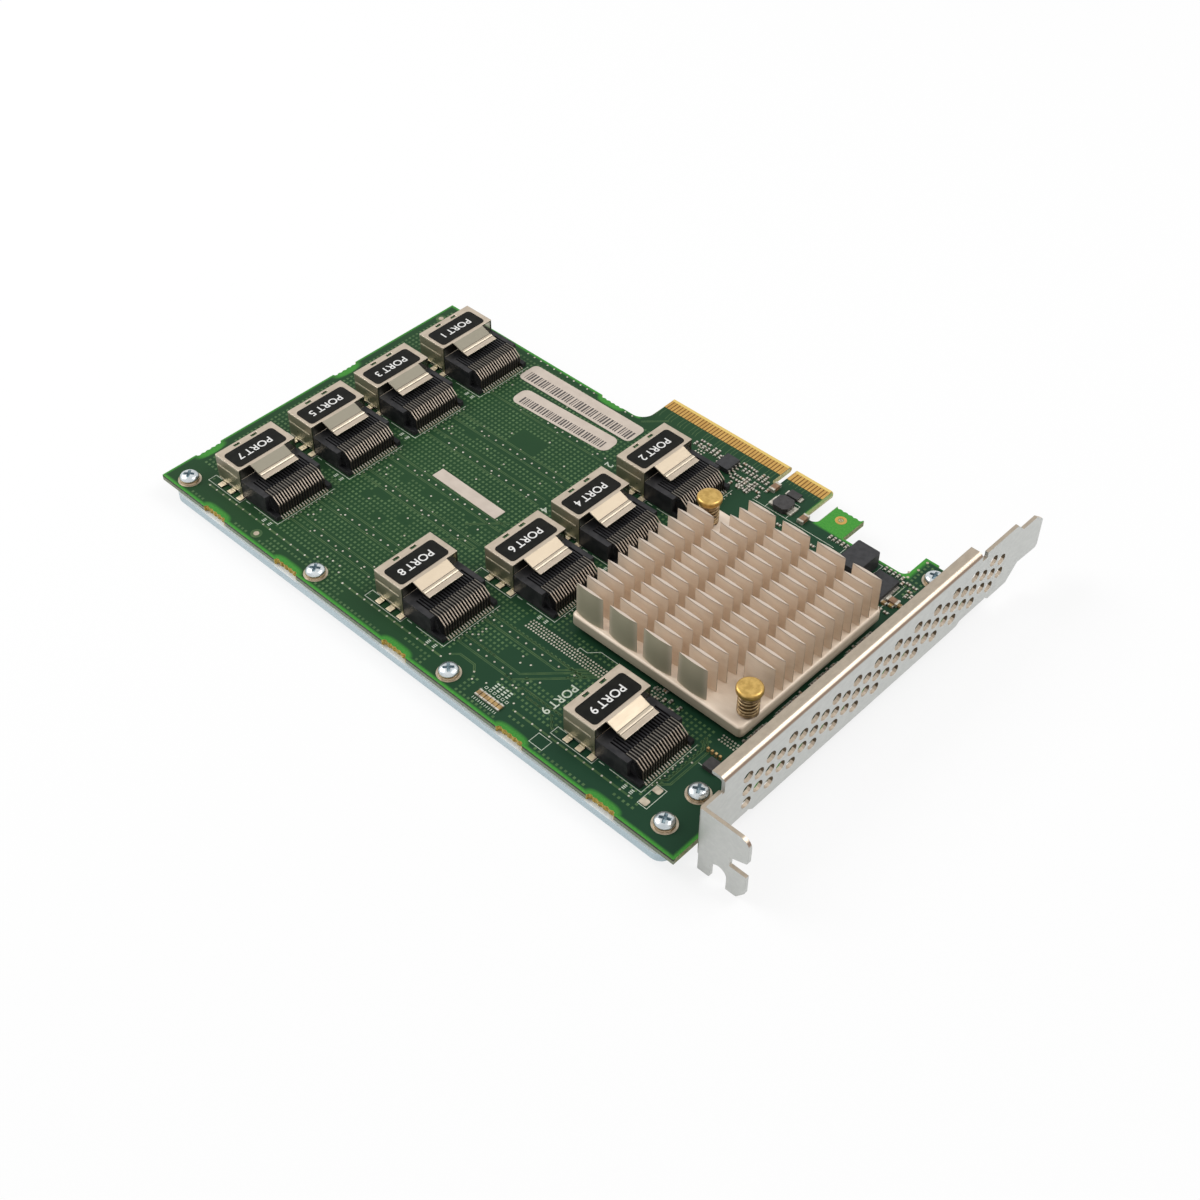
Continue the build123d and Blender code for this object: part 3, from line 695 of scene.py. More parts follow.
class CardMetalLook(bpy.types.PropertyGroup):
    shell: bpy.props.FloatVectorProperty(name="Shell plate", description="Colour of the socket shells", subtype="COLOR", size=3, default=(0.545, 0.460, 0.365))
    cool: bpy.props.FloatVectorProperty(name="Bracket face", description="Colour of the bracket's outer face", subtype="COLOR", size=3, default=(0.560, 0.570, 0.545))
    warm: bpy.props.FloatVectorProperty(name="Bracket flange", description="Colour of the bracket's flange", subtype="COLOR", size=3, default=(0.410, 0.345, 0.268))
    alloy: bpy.props.FloatVectorProperty(name="Heatsink alloy", description="Colour of the heatsink", subtype="COLOR", size=3, default=(0.795, 0.675, 0.550))
    metal: bpy.props.FloatProperty(name="Metal share", description="How strongly the plates reflect as bare metal", subtype="FACTOR", min=0.0, max=1.0, default=0.55)


class CardLabelLook(bpy.types.PropertyGroup):
    paper: bpy.props.FloatVectorProperty(name="Label paper", description="Colour of the board labels", subtype="COLOR", size=3, default=(0.560, 0.480, 0.410))
    ink: bpy.props.FloatVectorProperty(name="Silkscreen", description="Colour of the printed lines", subtype="COLOR", size=3, default=(0.560, 0.600, 0.500))
    cap_size: bpy.props.FloatProperty(name="Port lettering", description="Size of the lettering on the sockets", unit="LENGTH", default=0.00305)


class CardStageLook(bpy.types.PropertyGroup):
    key_power: bpy.props.FloatProperty(name="Key light", description="Power of the main soft light", unit="POWER", default=5.2)
    fill: bpy.props.FloatProperty(name="Sky fill", description="Strength of the pale surroundings", subtype="FACTOR", min=0.0, max=1.0, default=0.62)


def blocked(x, y, zones):
    return any(x0 < x < x1 and y0 < y < y1 for x0, x1, y0, y1 in zones)


def part_zones(margin=0.7):
    """Footprints of the parts that stand on the board."""
    zones = []
    for name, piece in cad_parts.items():
        if name in ("circuit_board", "bracket", "stiffener_bar", "board_screws", "heatsink_screws", "heatsink_springs"):
            continue
        if name in ("small_chips", "chip_capacitors", "resistor_arrays"):
            continue
        low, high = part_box(name)
        zones.append((low.x / MM - margin, high.x / MM + margin, low.y / MM - margin, high.y / MM + margin))
    return zones


class CARD_OT_board(bpy.types.Operator):
    """Finish the circuit board and lay its lines, dots and plated holes"""

    bl_idname = "card.board"
    bl_label = "Circuit board"

    def execute(self, context):
        look = context.scene.card_board
        dress(["circuit_board"], mask_finish(look))
        buried = mottled("copper_under_mask", (0.070, 0.125, 0.048), (0.045, 0.095, 0.038), 0.0, 0.40, 500.0, gloss=0.14).material
        dotted = mottled("dots_under_mask", (0.085, 0.155, 0.064), (0.054, 0.108, 0.043), 0.0, 0.40, 260.0, gloss=0.14).material
        tinned = mottled("tinned_copper", (0.620, 0.590, 0.500), (0.330, 0.310, 0.230), 0.45, 0.34, 1500.0).material
        width = look.trace_width / MM
        lines = Sheet(height=0.012)
        for y, x0, x1 in TRACE_ROWS:
            lines.pair([(x0, y), (x1, y)], width, 0.19)
        for path in TRACE_PATHS:
            lines.pair(path, width, 0.19)
        for x0, x1 in ((-99.5, -61.8), (-50.3, -16.8), (5.8, 40.6)):
            lines.line([(x0, -103.1), (x1, -103.1)], 0.5)
        for x, y in ((-77.2, -106.2), (-108.0, -18.2)):
            lines.disc(x, y, 1.45, 24)
        for index in range(38):
            if index % 4 != 2:
                x = -39.1 + index
                lines.line([(x, -4.4), (x, -6.2 - 0.6 * (index % 3)), (x + 0.3, -8.0)], 0.16)
        for index in range(11):
            x = 1.8 + index
            lines.line([(x, -4.4), (x, -5.6 - 0.4 * (index % 2))], 0.16)
        lines.piece("signal_lines", buried, "board")

        zones = part_zones()
        for y, x0, x1 in TRACE_ROWS:
            zones.append((x0 - 1, x1 + 1, y - 0.62, y + 0.62))
        for x, y, pitch, count in VIA_ROWS:
            zones.append((x - 1.2, x + pitch * count, y - 1.0, y + 1.0))
        for x, y, columns, rows, pitch in VIA_FIELDS:
            zones.append((x - 1.4, x + pitch * columns + 0.8, y - 1.2, y + pitch * rows + 0.8))
        for x, y, half_x, half_y in DOT_GAPS:
            zones.append((x - half_x, x + half_x, y - half_y, y + half_y))
        for x, y, half_x, half_y in BITES:
            zones.append((x - half_x - 0.2, x + half_x + 0.2, y - half_y - 0.2, y + half_y + 0.2))
        zones.append((-36.0, 60.0, -12.6, 1.0))
        zones.append((-12.5, 60.0, -28.0, 1.0))
        zones.append((-111.0, -100.2, -110.0, -99.0))
        dots = Sheet(height=0.012)
        half = look.dot_size / MM / 2
        pitch = look.dot_pitch / MM
        columns = int(162 / pitch)
        rows = int(94 / pitch)
        for column in range(columns):
            x = -107.6 + pitch * column
            for row in range(rows):
                y = -107.4 + pitch * row
                if not blocked(x, y, zones):
                    dots.box(x - half, x + half, y - half, y + half)
        for column in range(3):
            for row in range(10):
                x, y = 44.2 + pitch * column, -17.2 + pitch * row
                if math.hypot(x - 48.0, y + 8.7) > 3.4:
                    dots.box(x - half, x + half, y - half, y + half)
        dots.piece("copper_dots", dotted, "board")

        radius = look.via_radius / MM
        vias = Sheet(height=0.03)
        for base in (0.0, -1.6):
            for x, y, pitch, count in VIA_ROWS:
                for index in range(count):
                    vias.disc(x + pitch * index, y, radius, 8, base)
            for x, y in SINGLE_VIAS:
                vias.disc(x, y, radius, 8, base)
            for x, y, columns, rows, pitch in VIA_FIELDS:
                for column in range(columns):
                    for row in range(rows):
                        vias.disc(x + pitch * column + 0.2 * (row % 2), y + pitch * row, radius, 8, base)
        for y, x0, x1 in TRACE_ROWS:
            for share in (0.22, 0.55, 0.86):
                x = x0 + (x1 - x0) * share
                vias.disc(x + (y * 7) % 3, y + 0.3, 0.2)
        for x0, y0 in PORTS:
            for index in range(12):
                vias.disc(x0 + 22.9 + 0.25 * (index % 2), y0 + 2.6 + 1.2 * index, 0.2)
        vias.piece("plated_holes", tinned, "board")

        pads = Sheet(height=0.04)
        for x0, y0 in PORTS:
            for index in range(CONTACT_COUNT):
                y = y0 + CONTACT_FIRST + CONTACT_PITCH * index
                pads.box(x0 + 21.5, x0 + 22.15, y - 0.2, y + 0.2)
        for x, y, _ in BOARD_SCREWS:
            pads.disc(x, y, 2.88, 32)
        for y in (-102.0, -98.0):
            pads.prism(rounded(42.0, 44.0, y - 0.85, y + 0.85, 0.4), height=0.12)
        for x, y in ((42.9, -11.9), (43.3, -8.3), (43.4, -4.9), (42.1, -10.4)):
            pads.disc(x, y, 0.36)
        for x, y in ((-77.2, -106.2), (-108.0, -18.2)):
            pads.disc(x, y, 0.7, 16)
        pads.piece("tinned_pads", mottled("solder_pad", (0.560, 0.485, 0.375), (0.410, 0.345, 0.260), 0.5, 0.34, 700.0).material, "contact_metal")
        return {"FINISHED"}


class CARD_OT_fingers(bpy.types.Operator):
    """Lay the gold fingers of the edge connector"""

    bl_idname = "card.fingers"
    bl_label = "Gold fingers"

    def execute(self, context):
        finish = Finish("gold_finger")
        grain = finish.noise(900.0, 3.0, 0.6, finish.stretched(1.0, 0.15, 1.0))
        fine = finish.noise(6000.0, 2.0)
        tip = finish.step(finish.along(1), -0.00136, -0.00130)
        tone = finish.mix(finish.step(grain, 0.3, 0.7), (0.500, 0.280, 0.066), (0.600, 0.360, 0.095))
        finish.set("Base Color", finish.mix(tip, tone, (0.720, 0.520, 0.150)))
        finish.set("Metallic", 0.6)
        finish.set("Roughness", finish.step(fine, 0.2, 0.8, 0.30, 0.42))
        finish.bump(fine, 0.08, 0.00002)
        fingers = Sheet(height=0.035)
        for base in (0.0, -1.605):
            for start, count in ((-38.9, 38), (1.7, 11)):
                for index in range(count):
                    x = start + index
                    fingers.box(x - 0.36, x + 0.36, -4.45, -1.32, base)
            for left, right in ((-39.3, -1.03), (1.03, 11.9)):
                fingers.box(left, right, -1.34, -0.47, base)
            for left, right in ((-1.5, -1.03), (1.03, 1.3)):
                fingers.box(left, right, -4.45, -1.32, base)
        fingers.piece("gold_fingers", finish.material, "brass")
        collar = Sheet(height=0.035)
        turns = [2 * math.pi * index / 24 for index in range(24)]
        for index in range(24):
            after = (index + 1) % 24
            ring = []
            for turn, radius in ((turns[index], 0.72), (turns[index], 1.45), (turns[after], 1.45), (turns[after], 0.72)):
                ring.append((19.86 + radius * math.cos(turn), -7.27 + radius * math.sin(turn)))
            collar.prism(ring)
        collar.piece("tab_pad", finish.material, "brass")
        return {"FINISHED"}


class CARD_OT_print(bpy.types.Operator):
    """Print the outlines and plain numbers on the board, and stick on its labels"""

    bl_idname = "card.print"
    bl_label = "Print and labels"

    def execute(self, context):
        look = context.scene.card_label
        ink = mottled("silkscreen_ink", tuple(look.ink), (0.400, 0.450, 0.360), 0.0, 0.6, 2400.0).material
        lines = Sheet(height=0.02)
        for x0, y0 in PORTS:
            for near, out in ((y0, -1), (y0 + SHELL_WIDTH, 1)):
                edges = sorted((near + out * 1.9, near - out * 0.6))
                lines.ring(x0 - 2.2, x0 + 10.0, edges[0], edges[1], 0.16)
            lines.box(x0 + 10.6, x0 + 12.2, y0 - 0.45, y0 - 0.29)
            lines.box(x0 + 13.6, x0 + 22.45, y0 - 0.45, y0 - 0.29)
            lines.box(x0 + 22.45, x0 + 22.6, y0 - 0.45, y0 + SHELL_WIDTH)
            for shift in (18.6, 20.6):
                for row in range(3):
                    lines.box(x0 + shift, x0 + shift + 0.8, y0 - 1.3 - 0.45 * row, y0 - 1.05 - 0.45 * row)
        lines.line([(13.0, -77.9), (8.0, -77.9), (5.9, -80.1), (3.7, -80.1), (3.7, -81.0)], 0.16)
        for index in range(6):
            x = -2.8 + 1.25 * index
            lines.ring(x - 0.36, x + 0.36, -102.95, -102.2, 0.13)
            lines.box(x - 0.62, x - 0.5, -105.6, -103.3)
            for side in (-0.3, 0.3):
                lines.box(x + side - 0.08, x + side + 0.08, -106.75, -106.05)
        lines.ring(14.4, 18.3, -106.95, -103.75, 0.15)
        for index in range(4):
            for row in range(3):
                lines.box(-1.9 + 1.3 * index, -1.1 + 1.3 * index, -100.3 - 0.75 * row, -99.9 - 0.75 * row)
        lines.ring(41.9, 44.6, -103.2, -96.8, 0.14)
        lines.ring(3.4, 9.9, -15.9, -10.2, 0.16)
        lines.ring(26.6, 36.6, -23.2, -12.9, 0.14)
        lines.line([(43.9, -15.1), (44.3, -15.1), (44.3, -24.2), (43.9, -24.2)], 0.14)
        lines.line([(-0.3, -15.9), (24.4, -15.9)], 0.14)
        lines.line([(44.2, -86.7), (49.2, -86.7)], 0.14)
        lines.piece("printed_lines", ink, "board")
        lettering("PORT", 3.1, (10.05, -89.0), -90, 0.02, "printed_port", ink)
        lettering("9", 3.1, (10.0, -97.7), -90, 0.02, "printed_port_9", ink)
        lettering("2", 3.1, (-34.9, -30.0), -90, 0.02, "printed_port_2", ink)
        lettering("4", 3.1, (-34.9, -52.6), -90, 0.02, "printed_port_4", ink)

        paper = mottled("label_paper", tuple(look.paper), (0.500, 0.425, 0.360), 0.0, 0.55, 320.0, (0.3, 0.7), 0.1).material
        black = mottled("label_ink", (0.075, 0.062, 0.055), (0.030, 0.026, 0.024), 0.0, 0.5, 2200.0).material
        sheets = Sheet(height=0.09)
        sheets.prism(rounded(-75.1, -36.2, -21.5, -14.7, 1.6, 0.5))
        sheets.prism(rounded(-69.9, -37.9, -29.0, -22.9, 2.1, 2.7))
        sheets.prism(rounded(-62.4, -40.1, -63.7, -60.2, 0.12, -1.2))
        sheets.piece("board_labels", paper, "board")
        bars = Sheet(base=0.09, height=0.012)
        for middle_x, middle_y, span, low, high, turn, gaps in (
            (-55.6, -18.1, 36.0, -2.6, 0.5, 0.5, (3, 1, 2, 4, 1, 3, 2, 1, 5, 2)),
            (-53.9, -25.95, 27.4, -2.3, 0.3, 2.7, (2, 1, 1, 3, 2, 1, 4, 1, 2, 3)),
        ):
            spin = Matrix.Rotation(math.radians(turn), 2)
            spot = -span / 2
            index = 0
            while spot < span / 2:
                wide = 0.20 + 0.17 * (gaps[(index * 3) % 10] % 3)
                corners = [(spot, low), (spot + wide, low), (spot + wide, high), (spot, high)]
                bars.prism([tuple(spin @ Vector(corner) + Vector((middle_x, middle_y))) for corner in corners])
                spot += wide + 0.22 + 0.13 * gaps[index % 10] * (0.55 if index % 2 else 0.8)
                index += 1
        bars.piece("label_bars", black, "board")
        return {"FINISHED"}


class CARD_OT_sockets(bpy.types.Operator):
    """Finish the nine sockets: shells, numbered labels, housings and contacts"""

    bl_idname = "card.sockets"
    bl_label = "Sockets"

    def execute(self, context):
        look = context.scene.card_metal
        numbers = range(1, len(PORTS) + 1)
        dress([f"port_{number}_shell" for number in numbers], shell_finish(look))
        dress([f"port_{number}_housing" for number in numbers], housing_finish())
        beam = Finish("contact_beam")
        fine = beam.noise(2400.0, 3.0)
        tone = beam.mix(beam.step(fine, 0.3, 0.7), (0.300, 0.245, 0.190), (0.430, 0.355, 0.285))
        # Painted light by facing: the top flats are painted darker, and the drops near black for the shadow under the
        # slope.
        top_painted_shade = beam.math("MULTIPLY", beam.step(beam.facing(2), 0.85, 0.98), beam.step(beam.along(2), 0.0049, 0.0052))
        tone = beam.mix(top_painted_shade, tone, (0.150, 0.135, 0.115))
        drop_painted_shadow = beam.math("MULTIPLY", beam.step(beam.facing(0), 0.90, 0.99), beam.step(beam.along(2), 0.0038, 0.0030))
        tone = beam.mix(drop_painted_shadow, tone, (0.028, 0.024, 0.019))
        toe = beam.step(beam.along(2), 0.00040, 0.00034)
        tone = beam.mix(toe, tone, (0.620, 0.590, 0.500))
        # Painted shade on the beam sides.
        side = beam.step(beam.math("ABSOLUTE", beam.facing(1)), 0.5, 0.9)
        beam.set("Base Color", beam.mix(side, tone, (0.060, 0.048, 0.035)))
        beam.set("Metallic", 0.3)
        beam.set("Specular IOR Level", 0.3)
        beam.set("Roughness", beam.step(fine, 0.2, 0.8, 0.34, 0.48))
        beam.bump(fine, 0.08, 0.00002)
        film = mottled("socket_label", (0.011, 0.011, 0.009), (0.007, 0.007, 0.006), 0.0, 0.5, 500.0, gloss=0.08).material
        white = mottled("socket_lettering", (0.780, 0.770, 0.750), (0.640, 0.630, 0.610), 0.0, 0.5, 2600.0).material
        # The crease strips are real relief, painted brighter than the plate as a highlight along each crease.
        crease = mottled("shell_crease_highlight", (0.700, 0.630, 0.500), (0.480, 0.430, 0.330), 0.5, 0.34, 1500.0).material
        creases = Sheet()
        for number, (x0, y0) in enumerate(PORTS, start=1):
            self.contacts(number, x0, y0, beam.material)
            label = Sheet(base=SHELL_TOP, height=0.1)
            label.prism(rounded(x0 + 1.95, x0 + 8.3, y0 + 0.85, y0 + 15.7, 1.0))
            label.piece(f"port_{number}_label", film, "black_plastic")
            lettering(
                f"PORT {number}",
                context.scene.card_label.cap_size / MM,
                (x0 + 4.15, y0 + 13.05),
                -90,
                SHELL_TOP + 0.1,
                f"port_{number}_lettering",
                white,
                0.035,
            )
            for near, out in ((y0, -1), (y0 + SHELL_WIDTH, 1)):
                edges = sorted((near, near + out * 0.09))
                creases.box(x0 + 0.3, x0 + 8.0, edges[0], edges[1], 5.2, 0.34)
                creases.box(x0 + 0.3, x0 + 8.0, edges[0], edges[1], 1.22, 0.3)
        creases.piece("shell_creases", crease, "shell_sheet")
        mirror = Finish("shell_end")
        haze = mirror.noise(500.0, 3.0)
        mirror.set("Base Color", mirror.mix(mirror.step(haze, 0.3, 0.7), (0.440, 0.420, 0.340), (0.310, 0.300, 0.240)))
        mirror.set("Metallic", 1.0)
        mirror.set("Roughness", mirror.step(haze, 0.2, 0.8, 0.10, 0.18))
        ends = Sheet()
        for x0, y0 in PORTS:
            ends.box(x0 + 8.7, x0 + 8.98, y0 + 0.4, y0 + SHELL_WIDTH - 0.4, 5.32, 2.61)
        ends.piece("shell_ends", mirror.material, "shell_sheet")
        rib = mottled("tab_rib", (0.560, 0.480, 0.370), (0.500, 0.425, 0.325), 0.45, 0.34, 90.0).material
        # Painted shade: the pressed grooves and the roots of the ribs on each spring tab are painted dark.
        tab_painted_shade = mottled("tab_groove", (0.150, 0.125, 0.090), (0.110, 0.090, 0.065), 0.3, 0.5, 90.0).material
        self.ridges("tab_ridges", [(3.12, 7.266), (3.4, 7.31), (3.62, 7.38), (3.78, 7.38), (4.04, 7.2), (4.0, 7.05), (3.12, 7.05)], rib)
        self.ridges("tab_grooves", [(2.96, 7.33), (3.13, 7.27), (3.13, 7.2), (2.96, 7.2)], tab_painted_shade)
        self.ridges("tab_roots", [(4.03, 7.2), (4.18, 7.11), (4.18, 7.0), (4.03, 7.0)], tab_painted_shade)
        return {"FINISHED"}

    def ridges(self, name, profile, material):
        """The pressed lines across each spring tab, from the points of their outline; the outline runs clockwise."""
        count = len(profile)
        vertices, faces = [], []
        for x0, y0 in PORTS:
            start = len(vertices)
            for y in (y0 + 3.45, y0 + 13.67):
                vertices += [(x0 + SHELL_LENGTH + x, y, z) for x, z in profile]
            for index in range(count):
                after = (index + 1) % count
                faces.append([start + index, start + after, start + count + after, start + count + index])
            faces.append([start + index for index in reversed(range(count))])
            faces.append([start + count + index for index in range(count)])
        build(name, vertices, faces, material)

    def contacts(self, number, x0, y0, material):
        """One row of bent beams, each with its knee, drop and foot."""
        outline = [
            (16.2, 5.02), (16.2, 5.34), (18.9, 5.34), (19.25, 5.2), (21.0, 3.75), (21.12, 3.45),
            (21.12, 0.5), (21.25, 0.3), (21.8, 0.3), (21.8, 0.02), (21.0, 0.02), (20.84, 0.2),
            (20.84, 3.4), (20.75, 3.6), (19.1, 4.95), (18.8, 5.02),
        ]
        count = len(outline)
        vertices, faces = [], []
        for index in range(CONTACT_COUNT):
            middle = y0 + CONTACT_FIRST + CONTACT_PITCH * index
            start = len(vertices)
            for y in (middle - 0.135, middle + 0.135):
                vertices += [(x0 + x, y, z) for x, z in outline]
            for point in range(count):
                after = (point + 1) % count
                faces.append([start + point, start + after, start + count + after, start + count + point])
            strips = [(0, 1, 2, 15), (15, 2, 3, 14), (14, 3, 4, 13), (13, 4, 5, 12), (12, 5, 6, 11), (11, 6, 7, 10), (10, 7, 8, 9)]
            for strip in strips:
                faces.append([start + point for point in strip])
                faces.append([start + count + point for point in reversed(strip)])
        row = build(f"port_{number}_contact_row", vertices, faces, material)
        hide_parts(f"port_{number}_contacts")


class CARD_OT_cooler(bpy.types.Operator):
    """Finish the heatsink, its brass screws and their coil springs"""

    bl_idname = "card.cooler"
    bl_label = "Heatsink"

    def execute(self, context):
        alloy = sink_finish(context.scene.card_metal)
        dress(["heatsink"], alloy)
        self.fins(alloy)
        dress(["expander_chip"], moulded_finish("chip_package"))
        brass = mottled("brass_screw", (0.600, 0.395, 0.120), (0.450, 0.280, 0.075), 0.75, 0.34, 900.0)
        wire = mottled("spring_wire", (0.400, 0.285, 0.150), (0.170, 0.110, 0.055), 0.8, 0.36, 1300.0)
        vertices, faces = [], []
        for x, y in SINK_SCREWS:
            self.turned(x, y, vertices, faces)
        heads = build("brass_screws", vertices, faces, brass.material, True)
        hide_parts("heatsink_screws")
        vertices, faces = [], []
        for x, y in SINK_SCREWS:
            self.coil(x, y, vertices, faces)
        springs = build("coil_springs", vertices, faces, wire.material, True)
        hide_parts("heatsink_springs")
        return {"FINISHED"}

    def fins(self, alloy):
        """The heatsink: a base with a soft arris, drilled for its screws, and rows of lens-shaped fins."""
        vertices, faces = [], []
        rings = ((2.0, 0.0), (4.3, 0.0), (4.58, 0.1), (4.8, 0.32), (4.9, 0.62))
        for z, inset in rings:
            outline = rounded(-2.0 + inset, 47.3 - inset, -77.2 + inset, -28.3 - inset, 1.3 - inset / 2)
            vertices += [(x, y, z) for x, y in outline]
        count = len(vertices) // len(rings)
        for ring in range(len(rings) - 1):
            for index in range(count):
                after = (index + 1) % count
                a, b = ring * count, (ring + 1) * count
                faces.append([a + index, a + after, b + after, b + index])
        faces.append([count - 1 - index for index in range(count)])
        faces.append([(len(rings) - 1) * count + index for index in range(count)])
        drills = Sheet()
        for x, y in SINK_SCREWS:
            drills.disc(x, y, 1.42, 24, 1.5, 4.0)
        plate = carve((vertices, faces), (drills.vertices, drills.faces))
        length, steps = 8.25, 7
        spans = [-1 + 2 * index / steps for index in range(steps + 1)]
        half = [(span, 1 - span * span) for span in spans]
        outline = [(span, -swell) for span, swell in half] + [(span, swell) for span, swell in half[-2:0:-1]]
        levels = ((4.7, 0.56), (5.1, 0.49), (8.0, 0.45), (13.95, 0.40), (14.1, 0.34))
        vertices, faces = [], []
        for column in range(5):
            for row in range(3 if column == 4 else 0, 12 if column == 0 else 15):
                x, y = 2.73 + 9.97 * column, -76.0 + 3.325 * row
                start = len(vertices)
                for z, thick in levels:
                    vertices += [(x + span * (length / 2 - 0.015 * (z - 4.7)), y + swell * thick, z) for span, swell in outline]
                number = len(outline)
                for level in range(len(levels) - 1):
                    for index in range(number):
                        after = (index + 1) % number
                        a, b = start + level * number, start + (level + 1) * number
                        faces.append([a + index, a + after, b + after, b + index])
                faces.append([start + (len(levels) - 1) * number + index for index in range(number)])
                faces.append([start + number - 1 - index for index in range(number)])
        joined = bmesh.new()
        joined.from_mesh(plate)
        blades = bpy.data.meshes.new("fins")
        blades.from_pydata([mm(*vertex) for vertex in vertices], [], faces)
        joined.from_mesh(blades)
        for face in joined.faces:
            face.smooth = True
        mesh = bpy.data.meshes.new("finned_heatsink")
        joined.to_mesh(mesh)
        joined.free()
        bpy.data.meshes.remove(plate)
        bpy.data.meshes.remove(blades)
        mesh.set_sharp_from_angle(angle=math.radians(35))
        mesh.materials.append(alloy)
        piece = bpy.data.objects.new("finned_heatsink", mesh)
        bpy.context.scene.collection.objects.link(piece)
        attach(piece, "root")
        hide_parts("heatsink")

    def turned(self, x, y, vertices, faces):
        """A shoulder screw turned about its axis."""
        profile = [
            (0.02, 12.78), (2.2, 12.78), (2.62, 12.74), (2.92, 12.56), (3.04, 12.3), (3.05, 11.55), (2.98, 11.36),
            (2.8, 11.3), (1.25, 11.3), (1.2, 11.2), (1.2, -2.2), (1.0, -2.36), (0.02, -2.37),
        ]
        sides = 40
        start = len(vertices)
        for radius, z in profile:
            for index in range(sides):
                turn = 2 * math.pi * index / sides
                vertices.append((x + radius * math.cos(turn), y + radius * math.sin(turn), z))
        for ring in range(len(profile) - 1):
            for index in range(sides):
                after = (index + 1) % sides
                a, b = start + ring * sides, start + (ring + 1) * sides
                faces.append([a + after, a + index, b + index, b + after])
        faces.append([start + index for index in range(sides)])
        last = start + (len(profile) - 1) * sides
        faces.append([last + sides - 1 - index for index in range(sides)])

    def coil(self, x, y, vertices, faces):
        """Round wire wound from the base to the head, its end turns close together."""
        turns, steps, sides = 8.0, 28, 8
        radius, wire = 2.2, 0.27
        low, high = 4.9 + wire, 11.3 - wire
        count = int(turns * steps)
        start = len(vertices)
        for step in range(count + 1):
            share = step / count
            angle = 2 * math.pi * turns * share
            climb = share - math.sin(2 * math.pi * share) / (2 * math.pi) * 0.55
            centre = Vector((x + radius * math.cos(angle), y + radius * math.sin(angle), low + (high - low) * climb))
            outward = Vector((math.cos(angle), math.sin(angle), 0))
            for side in range(sides):
                turn = 2 * math.pi * side / sides
                point = centre + outward * wire * math.cos(turn) + Vector((0, 0, wire * math.sin(turn)))
                vertices.append(tuple(point))
        for step in range(count):
            for side in range(sides):
                after = (side + 1) % sides
                a, b = start + step * sides, start + (step + 1) * sides
                faces.append([a + side, b + side, b + after, a + after])
        faces.append([start + side for side in range(sides)])
        faces.append([start + count * sides + sides - 1 - side for side in range(sides)])


